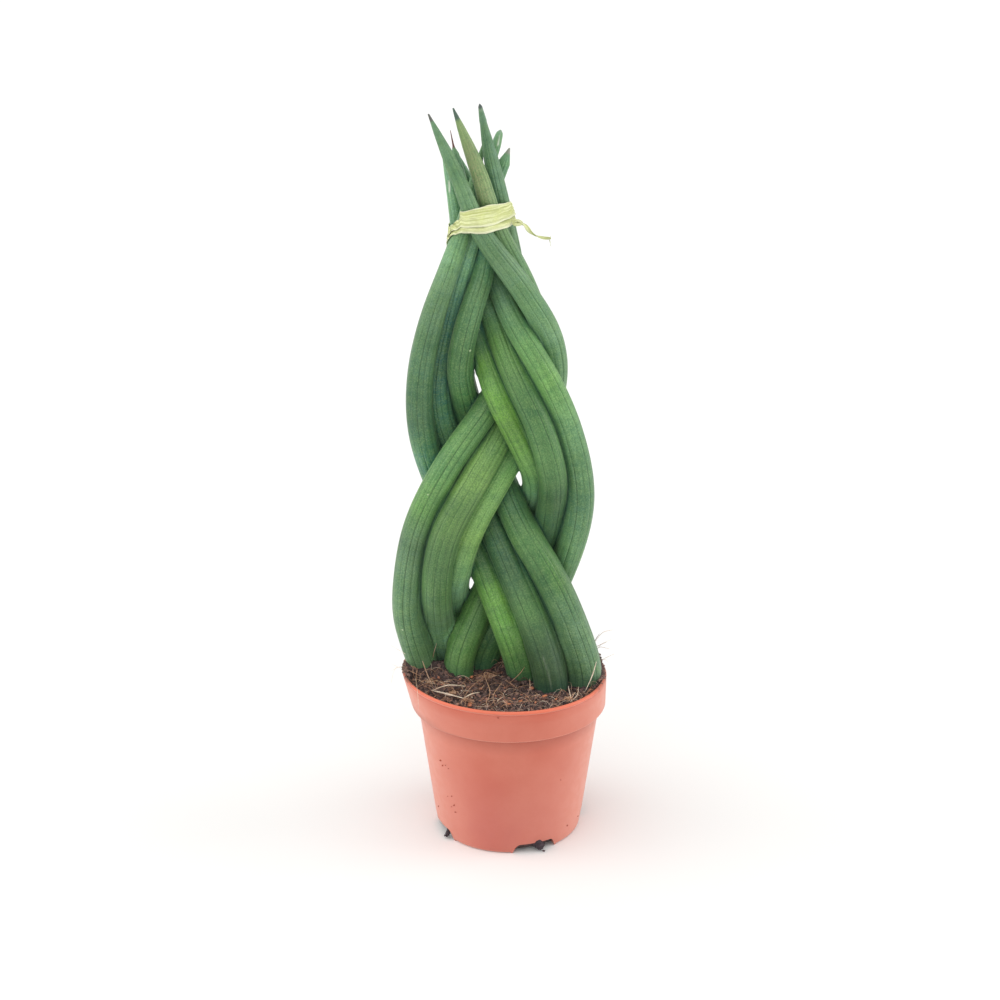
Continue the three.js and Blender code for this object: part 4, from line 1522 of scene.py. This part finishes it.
DARK_COIR = ((0.0, "3a3132"), (0.3, "645350"), (0.55, "8e736b"), (0.8, "b28676"), (1.0, "da8860"))
PALE_COIR = ((0.0, "5a4338"), (0.3, "946a58"), (0.65, "deb08c"), (1.0, "fff0da"))
ROOT_TONES = ((0.0, "2e282d"), (0.5, "5b4f55"), (1.0, "8f6a66"))
GRIT_TONES = ((0.0, "a25343"), (0.5, "b05d4b"), (1.0, "bd6a56"))


def unevenness(x: float, y: float, grain: float, layer: float) -> float:
    """Soft noise about 0 over a plane, with lumps of a size in millimetres."""
    return noise.noise(Vector((x / grain, y / grain, layer)))


@dataclass
class PottingMix:
    """Coir and peat in the pot, with crumbs, chips, fibres and two root ends, all placed in millimetres."""

    effects: Effects
    pot: NurseryPot
    stems: list[tuple[float, float, float]]
    level: float = 94.2
    bump: float = 1.7
    heap: float = 2.0
    banked: float = 0.4
    crumbs: int = 5400
    chips: int = 300
    loose_fibres: int = 290
    hairs: int = 120
    pale_grains: int = 26
    lip_crumbs: int = 320
    tangle_fibres: int = 10
    root_crumbs: int = 90
    root_threads: int = 7
    seed: int = 11
    rings: int = 74
    sides: int = 300
    wall_gap: float = 0.25
    bright_chips: tuple[tuple[float, float, float, float], ...] = (
        (-0.1, -43.0, 98.6, 2.0), (20.5, -34.0, 99.0, 1.7), (27.0, -37.5, 98.8, 1.3),
        (15.0, -41.5, 98.6, 1.2), (6.4, -40.0, 98.8, 1.2), (-21.5, -11.0, 100.0, 1.6),
        (-44.0, -12.0, 99.5, 1.4), (-16.7, 8.4, 106.7, 0.9),
    )
    grit: tuple[tuple[float, float], ...] = (
        (-50.5, 52.3), (-47.3, 53.5), (-44.9, 52.2), (-52.1, 55.1), (-49.6, 31.6), (-44.9, 33.3),
        (-46.6, 25.3), (-43.6, 27.4), (-43.0, 22.6), (-67.4, 17.6), (37.9, 46.8), (69.6, 9.6), (51.7, 10.1),
        (-3.7, 96.5),
    )
    tangles: tuple[tuple[float, float, float, float], ...] = (
        (-46.5, -15.0, 98.6, 2.6), (-12.0, -14.0, 101.5, 3.4), (-24.0, -41.0, 98.6, 2.2),
        (34.0, -38.0, 98.0, 1.8), (-33.0, -30.0, 97.5, 2.0),
    )
    root_ends: tuple[tuple[int, float, float], ...] = ((0, 2.8, 8.0), (3, 9.4, 3.0))
    heaps: tuple[tuple[tuple[float, float, float], float], ...] = (
        ((-57.0, 4.0, 8.0), 8.0),
        ((-44.0, 3.0, 6.4), 12.0),
        ((53.0, 8.0, 12.0), 8.0),
        ((54.0, -5.0, 8.5), 8.0),
        ((4.0, 14.0, 3.0), 13.0),
        ((6.0, -12.0, 1.6), 9.0),
        ((-36.0, -18.0, 1.4), 10.0),
    )

    def surface_at(self, x: float, y: float) -> float:
        """The soil's height at a place, in millimetres, before the rim yields.

        Args:
            x: the place from the pot's axis to the right.
            y: the place from the axis to the back.

        Returns:
            The height, with heaps, lumps and a fine grain.
        """
        heap = self.heap * max(0.0, 1 - math.hypot(x, y) / self.pot.rim_radius)
        for (left, front, high), reach in self.heaps:
            heap += high * math.exp(-(((x - left) / reach) ** 2) - ((y - front) / reach) ** 2)
        for beside in self.beside_stems(x, y):
            heap += self.banked * math.exp(-max(beside, 0.0) / 2.2)
        lumps = 0.6 * math.sin(x / 6 + 1) * math.cos(y / 7) + 0.4 * math.sin((x + y) / 3.7)
        fine = 1.5 * unevenness(x, y, 2.9, 1.7) + 0.9 * unevenness(x, y, 1.2, 5.1)
        return self.level + heap + self.bump * lumps + fine

    def beside_stems(self, x: float, y: float) -> list[float]:
        """How far a place is from each stem's skin, in millimetres."""
        return [math.hypot(x - sx / MM, y - sy / MM) - radius / MM for sx, sy, radius in self.stems]

    @property
    def shift(self) -> float:
        """How far the yielding rim has moved the soil's top sideways, in millimetres."""
        return self.pot.rim_push * (1 - (self.pot.height - self.level) / self.pot.band_height)

    def top_at(self, x: float, y: float) -> float:
        """The height of the soil's top as it lies in the tilted rim, in millimetres."""
        tilted = self.pot.rim_tilt * (x - self.shift) * self.shift / self.pot.rim_push
        return self.surface_at(x, y) - (tilted + self.pot.front_lift * y) / self.pot.rim_radius

    def shade_at(self, x: float, y: float) -> float:
        """How dark the soil is painted at a place.

        Args:
            x: the place from the pot's axis to the right.
            y: the place from the axis to the back.

        Returns:
            From 0 to 1, darker in random patches and darkest close to a stem, where it is painted shade.
        """
        patch = 0.55 * unevenness(x, y, 9.0, 3.3)
        # painted shade close to the stems
        beside = max(min(self.beside_stems(x, y)), 0.0)
        return min(1.0, max(0.0, math.exp(-beside / 4.0) + patch))

    def build_bed(self) -> None:
        """Makes the body of the soil with its crumbly top."""
        edge = self.pot.inside_radius(self.level - 1) - 0.15
        angles = angles_round(self.sides)
        wall = [(self.pot.foot_radius - 3.8, 1.5), (self.pot.foot_radius - 1.0, 4.0)]
        heights = (30.0, 60.0, 77.0, 81.5, 88.0, self.level - 1)
        wall += [(self.pot.inside_radius(z) - self.wall_gap, z) for z in heights]
        rows = rows_round(wall, self.sides)
        for ring in range(self.rings, 0, -1):
            reach = edge * ring / self.rings
            x, y = reach * np.cos(angles), reach * np.sin(angles)
            rows.append(np.column_stack([x, y, [self.surface_at(a + self.shift, b) for a, b in zip(x, y)]]))
        points = self.pot.yield_rim(np.vstack([*rows, [[0, 0, 1.5]], [[0, 0, self.surface_at(0, 0)]]]))
        grain = [0.2 + 0.4 * noise.noise(Vector(point) / 2.2) for point in points]
        # painted shade near the stems darkens the bed's tone
        tone = [g * (1 - 0.6 * self.shade_at(x, y)) for g, (x, y, _) in zip(grain, points)]
        pile = MeshPile()
        pile.add(points * MM, bar_faces(len(rows), self.sides), tone=np.clip(tone, 0, 1))
        finish = SoilFinish("dark_coir", DARK_COIR)
        settle_piece(pile.piece("potting_mix"), finish.material(self.effects), "soil", "soil")

    def strew(self, pile: MeshPile, name: str, finish: SoilFinish, smooth: bool = True) -> None:
        """Makes a piece of loose bits.

        Args:
            pile: the bits.
            name: the piece's name.
            finish: its finish.
            smooth: whether the bits are shaded smoothly.
        """
        settle_piece(pile.piece(name, smooth), finish.material(self.effects), "soil")

    def lump(self, rng: np.random.Generator, size: Sequence[float]) -> tuple[Points, Faces]:
        """An uneven lump.

        Args:
            rng: the stream of random numbers.
            size: its half sizes in millimetres.

        Returns:
            Its points and faces.
        """
        long = (1 + math.sqrt(5)) / 2
        base = [(-1, long, 0), (1, long, 0), (-1, -long, 0), (1, -long, 0), (0, -1, long), (0, 1, long)]
        base += [(0, -1, -long), (0, 1, -long), (long, 0, -1), (long, 0, 1), (-long, 0, -1), (-long, 0, 1)]
        faces = [(0, 11, 5), (0, 5, 1), (0, 1, 7), (0, 7, 10), (0, 10, 11), (1, 5, 9), (5, 11, 4)]
        faces += [(11, 10, 2), (10, 7, 6), (7, 1, 8), (3, 9, 4), (3, 4, 2), (3, 2, 6), (3, 6, 8)]
        faces += [(3, 8, 9), (4, 9, 5), (2, 4, 11), (6, 2, 10), (8, 6, 7), (9, 8, 1)]
        points = np.array(base) / math.hypot(1, long)
        points *= rng.uniform(0.7, 1.25, (12, 1)) * np.array(size)
        tilt = Matrix.Rotation(rng.uniform(-0.7, 0.7), 3, "X") @ Matrix.Rotation(rng.uniform(0, 6.3), 3, "Z")
        spin = Matrix.Rotation(rng.uniform(0, 6.3), 3, "Z")
        return points @ np.array(tilt) @ np.array(spin), faces

    def scatter(self, rng: np.random.Generator, margin: float) -> tuple[float, float]:
        """A random place on the soil.

        Args:
            rng: the stream of random numbers.
            margin: how far it stays from the stems and the wall.

        Returns:
            The place, in millimetres.
        """
        while True:
            reach = (self.pot.inside_radius(self.level) - margin) * math.sqrt(rng.uniform())
            angle = rng.uniform(0, 2 * math.pi)
            x, y = reach * math.cos(angle) + self.pot.rim_push * 0.8, reach * math.sin(angle)
            if min(self.beside_stems(x, y)) > margin - 0.8:
                return x, y

    def build_crumbs(self) -> None:
        """Makes the crumbs that lie on the soil."""
        rng = np.random.default_rng(self.seed)
        pile = MeshPile()
        for _ in range(self.crumbs):
            x, y = self.scatter(rng, 1.2)
            size = 0.3 + 0.8 * rng.uniform() ** 2.2
            points, faces = self.lump(rng, (size * rng.uniform(0.9, 1.7), size, size * rng.uniform(0.6, 1.0)))
            at = (x, y, self.top_at(x, y) + 0.25 * size)
            # painted shade near the stems darkens the crumbs' tone
            tone = float(np.clip(rng.normal(0.45, 0.22), 0, 0.9)) * (1 - 0.5 * self.shade_at(x, y))
            pile.add((points + at) * MM, faces, tone=tone)
        self.strew_lip(pile, rng)
        self.strew(pile, "coir_crumbs", SoilFinish("crumbled_coir", DARK_COIR), smooth=False)

    def strew_lip(self, pile: MeshPile, rng: np.random.Generator) -> None:
        """Adds the crumbs that lie on the pot's lip at its left and right.

        Args:
            pile: the pile they go to.
            rng: the stream of random numbers.
        """
        for k in range(self.lip_crumbs):
            side = -1 if k % 2 else 1
            turn, size = rng.normal(0.02, 0.14), 0.3 + 0.7 * rng.uniform() ** 1.8
            reach = self.pot.rim_radius - rng.uniform(0.6, 3.4)
            points, faces = self.lump(rng, (size * 1.4, size, size * 0.6))
            place = [side * reach * math.cos(turn), reach * math.sin(turn), self.pot.height - 0.1]
            at = self.pot.yield_rim(np.array([place]))
            pile.add((points + at) * MM, faces, tone=float(rng.uniform(0.3, 0.7)))

    def build_chips(self) -> None:
        """Makes the larger chips, some of them orange."""
        rng = np.random.default_rng(self.seed + 1)
        pile = MeshPile()
        for _ in range(self.chips):
            x, y = self.scatter(rng, 2.4)
            long = 1.1 + 2.0 * rng.uniform() ** 1.6
            wide, thick = long * rng.uniform(0.3, 0.6), long * rng.uniform(0.2, 0.45)
            points, faces = self.lump(rng, (long, wide, thick))
            at = (x, y, self.top_at(x, y) + 0.4)
            pile.add((points + at) * MM, faces, tone=float(np.clip(rng.normal(0.55, 0.22), 0, 0.95)))
        for x, y, height, size in self.bright_chips:
            points, faces = self.lump(rng, (size, size * 0.55, size * 0.4))
            pile.add((points + (x, y, max(height, self.top_at(x, y) + 0.4))) * MM, faces, tone=1.0)
        self.strew(pile, "coir_chips", SoilFinish("chipped_husk", DARK_COIR), smooth=False)

    def lay_fibre(
        self, pile: MeshPile, route: Sequence[Sequence[float]] | Points, thickness: float, tone: float
    ) -> None:
        """Adds a fibre through some points.

        Args:
            pile: the pile it goes to.
            route: its points in millimetres.
            thickness: its thickness in the middle.
            tone: how pale it is, from 0 to 1.
        """
        line = smooth_line(route, 6 * len(route))
        share = np.linspace(0, 1, len(line))
        radii = thickness / 2 * (0.45 + 0.55 * np.sin(math.pi * np.clip(share, 0.04, 0.96)))
        pile.add_tube(line * MM, radii * MM, 5, tone=tone)

    def lay_hair(self, pile: MeshPile, rng: np.random.Generator) -> None:
        """Adds a fine hair that springs up from the mix, most of them near the rim.

        Args:
            pile: the pile it goes to.
            rng: the stream of random numbers.
        """
        x, y = self.scatter(rng, 2.0)
        if math.hypot(x, y) < 30 and rng.uniform() < 0.5:
            x, y = self.scatter(rng, 2.0)
        turn, length, lift = rng.uniform(0, 6.3), rng.uniform(5, 13), rng.uniform(1.5, 5.0)
        bend = rng.uniform(-1.2, 1.2)
        route, low = [], self.top_at(x, y)
        for share in (0.0, 0.33, 0.66, 1.0):
            angle = turn + bend * share
            px, py = x + length * share * math.cos(angle), y + length * share * math.sin(angle)
            if math.hypot(px - self.pot.rim_push, py) > self.pot.rim_radius - 1.5:
                px, py = px * 0.9, py * 0.9
            route.append((px, py, max(low + lift * math.sin(share * 2.6) + 0.2, self.level)))
        self.lay_fibre(pile, route, rng.uniform(0.12, 0.2), rng.uniform(0.5, 1.0))

    def build_fibres(self) -> None:
        """Makes the coir fibres: long ones laid one by one, and short ones strewn among them."""
        pile = MeshPile()
        rng = np.random.default_rng(self.seed + 2)
        long = LongFibres()
        tilt = self.pot.front_lift / self.pot.rim_radius
        for fibre in (*long.left, *long.front, *long.right):
            route = [(x, y, z - tilt * y) for x, y, z in fibre.route]
            self.lay_fibre(pile, route, fibre.thickness, fibre.tone)
        for _ in range(self.loose_fibres):
            self.lay_loose_fibre(pile, rng)
        for _ in range(self.hairs):
            self.lay_hair(pile, rng)
        for x, y, z, size in self.tangles:
            for _ in range(self.tangle_fibres):
                ends = rng.normal(0, size / 1.5, (4, 3)) * (1, 1, 0.35) + (x, y, z - tilt * y + 0.4)
                self.lay_fibre(pile, ends, rng.uniform(0.28, 0.46), rng.uniform(0.35, 0.75))
        for _ in range(self.pale_grains):
            x, y = self.scatter(rng, 2.0)
            points, faces = self.lump(rng, (0.45, 0.4, 0.35))
            pile.add((points + (x, y, self.top_at(x, y) + 0.9)) * MM, faces, tone=1.0)
        self.strew(pile, "coir_fibres", SoilFinish("pale_fibre", PALE_COIR))

    def lay_loose_fibre(self, pile: MeshPile, rng: np.random.Generator) -> None:
        """Adds a short curved fibre that lies on the mix, more of them on its left.

        Args:
            pile: the pile it goes to.
            rng: the stream of random numbers.
        """
        x, y = self.scatter(rng, 3.0)
        if x > 0 and rng.uniform() < 0.6:
            x, y = self.scatter(rng, 3.0)
        reach, turn, bend = rng.uniform(2.0, 7.0), rng.uniform(0, 6.3), rng.uniform(-0.9, 0.9)
        rise, route = rng.uniform(0.2, 2.4), []
        for along in (-1.0, -0.35, 0.35, 1.0):
            angle = turn + bend * along
            px, py = x + reach * along * math.cos(angle), y + reach * along * math.sin(angle)
            if math.hypot(px - self.pot.rim_push * 0.8, py) > self.pot.inside_radius(self.level) - 1.0:
                px, py = x, y
            lift = rise * (1 - along * along) - 0.3 * abs(along)
            route.append((px, py, self.top_at(px, py) + lift + 0.3))
        self.lay_fibre(pile, route, rng.uniform(0.2, 0.5), float(np.clip(rng.normal(0.3, 0.25), 0, 0.85)))

    def build_root_ends(self) -> None:
        """Makes the root ends that have grown out through two of the drain holes."""
        rng = np.random.default_rng(self.seed + 3)
        pile = MeshPile()
        for pocket, lean, thickness in self.root_ends:
            angle = self.pot.first_pocket + pocket * 360 / self.pot.pockets
            turn = np.array(Matrix.Rotation(math.radians(angle), 3, "Z"))
            route = [(0, -36, 9.5), (0.4 * lean, -38, 7), (0.8 * lean, -40.8, 4.6)]
            route += [(lean, -42.6, 3), (lean, -43.6, 1.2)]
            line = smooth_line(route, 26)
            share = np.linspace(0, 1, 26)
            radii = thickness / 2 * (1 - 0.62 * share**3) * (1 + 0.14 * np.sin(share * 23 + lean))
            pile.add_tube((line @ turn.T) * MM, radii * MM, 14, tone=0.25)
            for _ in range(self.root_crumbs):
                at = line[int(rng.integers(8, 25))] + rng.normal(0, 0.35 + 0.05 * thickness, 3) * (1, 1, 0.6)
                size = rng.uniform(0.25, 0.75)
                points, faces = self.lump(rng, (size * 1.4, size, size * 0.8))
                at[2] = max(at[2], 0.9)
                pile.add((points + at) @ turn.T * MM, faces, tone=float(rng.uniform(0.1, 0.6)))
            for _ in range(self.root_threads):
                start = line[int(rng.integers(14, 24))]
                way = (rng.uniform(-2.5, 2.5), rng.uniform(-1.2, 0.2), rng.uniform(-1.8, 0.4))
                end = start + np.array(way)
                end[2] = max(end[2], 0.4)
                middle = (start + end) / 2 + rng.normal(0, 0.4, 3) * (1, 1, 0.3)
                thread = smooth_line([start, middle, end], 9)
                pile.add_tube((thread @ turn.T) * MM, np.linspace(0.22, 0.1, 9) * MM, 5, tone=0.55)
        self.strew(pile, "root_ends", SoilFinish("root_clump", ROOT_TONES, "2a2428"))

    def build_grit(self) -> None:
        """Makes the grains of the mix that stick to the outside of the pot."""
        rng = np.random.default_rng(self.seed + 4)
        pile = MeshPile()
        for angle, height in self.grit:
            turn, size = math.radians(angle), rng.uniform(0.3, 0.55)
            reach = self.pot.outside_radius(height) + 0.1
            points, faces = self.lump(rng, (size * 1.5, size * 0.7, size))
            at = np.array([[reach * math.sin(turn), -reach * math.cos(turn), height]])
            pile.add((points + self.pot.yield_rim(at)) * MM, faces, tone=float(rng.uniform(0.15, 0.5)))
        self.strew(pile, "stuck_grit", SoilFinish("stuck_coir", GRIT_TONES, "904838"), smooth=False)

    def build(self) -> None:
        """Makes all the pieces of the mix."""
        self.build_bed()
        self.build_crumbs()
        self.build_chips()
        self.build_fibres()
        self.build_root_ends()
        self.build_grit()


# ------------------------------------------------------------------------------------------- raffia


@dataclass(frozen=True)
class Turn:
    """One layer of the tie: the share of its width that it covers and how far off the leaves it lies."""

    foot: float
    top: float
    foot_proud: float
    top_proud: float
    rows: int
    pleats: float
    seed: float
    wander: float = 0.0


@dataclass
class RaffiaTie:
    """A flat ribbon of raffia wound round the bundle, with a knot at its front right and a twisted end."""

    effects: Effects
    plait: Plait
    centre: tuple[float, float] = (-16.5, -1.0)
    sides: int = 260
    thickness: float = 0.3
    held: tuple[float, float] = (0.345, 0.395)
    edges: tuple[tuple[float, float, float], ...] = (
        (-180, 356.9, 368.0), (-150, 363.0, 371.5), (-130, 368.0, 375.5), (-117, 369.6, 382.0),
        (-95, 370.6, 384.0), (-70, 370.8, 384.6), (-15, 370.0, 382.8), (30, 368.6, 380.4),
        (90, 362.6, 373.8), (140, 358.0, 369.0), (180, 356.9, 368.0),
    )
    turns: tuple[Turn, ...] = (
        Turn(0.0, 0.5, 0.55, 0.15, 11, 13.0, 4.0),
        Turn(0.31, 1.0, 1.0, 0.4, 21, 24.0, 1.0, 0.05),
    )
    knot: tuple[float, float, float] = (4.4, -4.6, 371.4)
    tail: tuple[tuple[float, float, float], ...] = (
        (3.6, -4.4, 372.0), (8.0, -5.2, 370.4), (11.2, -5.8, 366.6), (14.6, -6.6, 364.6),
        (18.6, -7.4, 363.6), (22.5, -8.0, 363.6),
    )
    directions: Points = field(default_factory=lambda: np.radians(np.arange(0, 360, 3)))
    reaches: dict[int, Points] = field(default_factory=dict)
    skin: Points = field(init=False)

    def loop_radius(self, angle: float, height: float) -> float:
        """How far a loop drawn tight round the leaves stands from the bundle's middle.

        Args:
            angle: the direction, in radians.
            height: the height in millimetres.

        Returns:
            The distance in millimetres.
        """
        reach = self.reach_at(round(height * 2))
        facing = np.cos(self.directions - angle)
        return float((reach[facing > 0.2] / facing[facing > 0.2]).min())

    def reach_at(self, half_millimetres: int) -> Points:
        """How far the leaves reach near a height, kept for the next call.

        Args:
            half_millimetres: the height, in halves of a millimetre.

        Returns:
            The reach in each direction.
        """
        if half_millimetres not in self.reaches:
            near = self.skin[np.abs(self.skin[:, 2] - half_millimetres / 2) < 1.1]
            outward = np.stack([np.cos(self.directions), np.sin(self.directions)])
            self.reaches[half_millimetres] = ((near[:, :2] - self.centre) @ outward).max(axis=0)
        return self.reaches[half_millimetres]

    def edges_at(self, degrees: float) -> tuple[float, ...]:
        """The heights of the tie's lower and upper edge in a direction.

        Args:
            degrees: the direction from +X, from -180 to 180.

        Returns:
            Both heights in millimetres.
        """
        start, end = next(pair for pair in zip(self.edges, self.edges[1:]) if degrees <= pair[1][0])
        share = smooth_step(start[0], end[0], degrees)
        return tuple(start[i] + share * (end[i] - start[i]) for i in (1, 2))

    def ripple(self, turn: Turn, angle: float, share: float) -> float:
        """How far a layer's pleats stand out at a place.

        Args:
            turn: the layer.
            angle: the direction, in radians.
            share: the place across the layer, from its foot to its top.

        Returns:
            The distance in millimetres.
        """
        round_about = Vector((math.cos(angle) * 2.2, math.sin(angle) * 2.2, turn.seed))
        swell = noise.noise(round_about)
        fine = noise.noise(Vector((math.cos(angle) * 5, math.sin(angle) * 5, share * 6 + turn.seed)))
        return 0.13 * math.sin(share * turn.pleats + 3 * swell + turn.seed) + 0.18 * swell + 0.12 * fine

    def slanting_stripes(self, degrees: float, share: float) -> float:
        """How much painted shade darkens the slanting pleats at the bundle's left, from 0 to 1."""
        near = math.exp(-(((degrees + 143) / 17) ** 2))
        return near * float(smooth_step(0.1, 0.8, math.sin(degrees * 0.45 + share * 9)))

    def wind(self, pile: MeshPile, turn: Turn) -> None:
        """Adds a layer of the ribbon, which closes on itself.

        Args:
            pile: the pile it goes to.
            turn: the layer.
        """
        shares = np.linspace(0, 1, turn.rows)
        points, ribbon, edge, fold = [], [], [], []
        for k in range(self.sides):
            angle = 2 * math.pi * k / self.sides
            degrees = math.degrees(angle) if angle <= math.pi else math.degrees(angle) - 360
            low, high = self.edges_at(degrees)
            wander = turn.wander * math.sin(2 * angle + 1.3) + 0.5 * turn.wander * math.sin(7 * angle)
            foot, top = low + (turn.foot + wander) * (high - low), low + turn.top * (high - low)
            for share, thick in [(s, self.thickness) for s in reversed(shares)] + [(s, 0.0) for s in shares]:
                height = foot + share * (top - foot)
                proud = turn.foot_proud + share * (turn.top_proud - turn.foot_proud)
                reach = self.loop_radius(angle, height) + proud + self.ripple(turn, angle, share) + thick
                x, y = self.centre[0] + reach * math.cos(angle), self.centre[1] + reach * math.sin(angle)
                points.append((x, y, height))
                ribbon.append((share * (top - foot) * MM, thick * MM, angle * 20 * MM))
                edge.append(max(0.0, 1 - share * 6 * turn.foot_proud, 1 - (1 - share) * 14))
                # painted shadow where the lower layer goes under the upper one
                tucked = float(smooth_step(0.4, 0.62, share)) if turn.top < 1 else 0.0
                fold.append(max(tucked, self.slanting_stripes(degrees, share)))
        ring = 2 * turn.rows
        faces = ring_faces(self.sides, ring)
        last = (self.sides - 1) * ring
        faces += [(last + k, last + (k + 1) % ring, (k + 1) % ring, k) for k in range(ring)]
        values = {"ribbon": np.array(ribbon), "edge": np.array(edge), "fold": np.array(fold)}
        pile.add(np.array(points) * MM, faces, **values)

    def build(self) -> None:
        """Makes the tie."""
        self.skin = self.plait.skin_between(*self.held) / MM
        pile = MeshPile()
        for turn in self.turns:
            self.wind(pile, turn)
        self.add_knot(pile)
        settle_piece(pile.piece("raffia_tie"), RaffiaFinish().material(self.effects), "raffia", "tie")

    def add_knot(self, pile: MeshPile) -> None:
        """Adds the knot and the loose end.

        Args:
            pile: the pile they go to.
        """
        turns = np.linspace(0, 2 * math.pi, 40)
        for tilt, size, width in ((0.5, 1.5, 1.2), (2.0, 1.4, 1.0), (1.2, 0.9, 0.9)):
            up, out = size * np.sin(turns) * math.sin(tilt), size * np.sin(turns) * math.cos(tilt)
            line = np.stack([size * 1.2 * np.cos(turns), out, up], axis=1)[:-2] + self.knot
            self.add_strand(pile, line, (width, 0.5), tilt, 0.0)
        self.add_strand(pile, smooth_line(self.tail, 60), (1.25, 0.34), 0.6, 6.5, end=0.7)
        under = smooth_line(self.tail[:4], 40) + (0.1, 0.4, -0.5)
        self.add_strand(pile, under, (0.7, 0.3), 2.1, 5.0, end=0.5)
        for end in ((22.6, -7.4, 365.0), (22.4, -8.4, 361.2), (22.6, -7.8, 358.6)):
            thread = smooth_line([(19.4, -7.5, 363.7), (21.4, -7.9, 363.0), end], 16)
            self.add_strand(pile, thread, (0.22, 0.16), 0.9, 0.0, end=0.4)

    def add_strand(
        self,
        pile: MeshPile,
        line: Points,
        half: tuple[float, float],
        start: float,
        twist: float,
        end: float = 1.0,
        sides: int = 12,
    ) -> None:
        """Adds a length of flat raffia that twists as it goes.

        Args:
            pile: the pile it goes to.
            line: its middle line in millimetres.
            half: half its width and half its thickness in millimetres.
            start: the angle that it starts at, in radians.
            twist: how far it turns along its length, in radians.
            end: its size at its end, as a share of that at its start.
            sides: how many points its section has.
        """
        share = np.linspace(0, 1, len(line))
        size = (1 + (end - 1) * share) * (1 + 0.1 * np.sin(share * 17 + start * 5))
        angles = angles_round(sides)
        first, second = frames_along(line)
        turned = start + twist * share
        wide = np.cos(turned)[:, None] * first + np.sin(turned)[:, None] * second
        thin = np.cos(turned)[:, None] * second - np.sin(turned)[:, None] * first
        across, through = half[0] * np.cos(angles), half[1] * np.sin(angles)
        body = line[:, None] + size[:, None, None] * (
            across[None, :, None] * wide[:, None] + through[None, :, None] * thin[:, None]
        )
        length = length_along(line)
        ribbon = [(x * MM, y * MM, at * MM) for at in length for x, y in zip(across, through)]
        ribbon += [(0, 0, 0), (0, 0, length[-1] * MM)]
        rim = np.concatenate([np.tile(np.abs(np.cos(angles)) ** 3 * 0.5, len(line)), [0, 0]])
        points = np.vstack([body.reshape(-1, 3), line[:1], line[-1:]]) * MM
        # painted shade, slight and even, on the twisted strands of the knot and tail
        pile.add(points, bar_faces(len(line), sides), ribbon=np.array(ribbon), edge=rim, fold=0.12)


# ------------------------------------------------------------------------------------------- studio


@dataclass
class Studio:
    """A pale floor, soft lights, each with its direction, strength and width in degrees, and the camera."""

    camera_at: tuple[float, float, float] = (-0.00515, -1.272, 0.7264)
    camera_tilt: float = 67.78
    lens: float = 86.69
    sky: float = 0.42
    lights: tuple[tuple[str, tuple[float, float, float], float, float], ...] = (
        ("overhead_light", (0.3, 0.42, -1.0), 2.2, 110.0),
        ("left_light", (1.7, -0.1, -0.53), 0.66, 43.0),
        ("right_light", (-1.7, -0.1, -0.53), 1.26, 43.0),
    )
    floor_size: float = 60.0

    def build(self) -> None:
        """Sets up the floor, the lights and the camera."""
        bpy.context.scene.view_settings.view_transform = "Standard"
        self.lay_floor()
        self.place_camera()
        self.light_sky()
        for name, direction, strength, softness in self.lights:
            self.light_from(name, direction, strength, softness)

    def light_from(
        self, name: str, direction: tuple[float, float, float], strength: float, softness: float
    ) -> None:
        """Lights everything evenly from one side.

        Args:
            name: the light's name.
            direction: the way it shines.
            strength: its strength.
            softness: how wide it looks, in degrees.
        """
        data = bpy.data.lights.new(name, "SUN")
        data.energy = strength
        data.angle = math.radians(softness)
        light = bpy.data.objects.new(name, data)
        light.rotation_euler = Vector(direction).to_track_quat("-Z", "Y").to_euler()
        bpy.context.scene.collection.objects.link(light)

    def lay_floor(self) -> None:
        """Lays the floor."""
        mesh = bpy.data.meshes.new("floor")
        half = self.floor_size / 2
        corners = [(-half, -half, 0), (half, -half, 0), (half, half, 0), (-half, half, 0)]
        mesh.from_pydata(corners, [], [(0, 1, 2, 3)])
        floor = bpy.data.objects.new("floor", mesh)
        bpy.context.scene.collection.objects.link(floor)
        mesh.materials.append(FloorFinish().material())

    def place_camera(self) -> None:
        """Places the camera."""
        data = bpy.data.cameras.new("camera")
        data.lens = self.lens
        data.sensor_width = 36.0
        camera = bpy.data.objects.new("camera", data)
        camera.location = self.camera_at
        camera.rotation_euler = (math.radians(self.camera_tilt), 0.0, 0.0)
        bpy.context.scene.collection.objects.link(camera)
        bpy.context.scene.camera = camera

    def light_sky(self) -> None:
        """Fills the room with even white light."""
        world = bpy.data.worlds.new("studio")
        world.use_nodes = True
        backdrop = world.node_tree.nodes["Background"]
        backdrop.inputs["Color"].default_value = (1.0, 1.0, 1.0, 1.0)
        backdrop.inputs["Strength"].default_value = self.sky
        bpy.context.scene.world = world


def main() -> None:
    """Builds the plant piece by piece."""
    logging.basicConfig(level=logging.INFO, format="%(name)s: %(message)s")
    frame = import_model()
    effects = Effects()
    plait = Plait(effects)
    plait.build(frame)
    pot = NurseryPot(effects)
    pot.build()
    PottingMix(effects, pot, plait.stems_at(SOIL_TOP)).build()
    RaffiaTie(effects, plait).build()
    Studio().build()


if __name__ == "__main__":
    main()
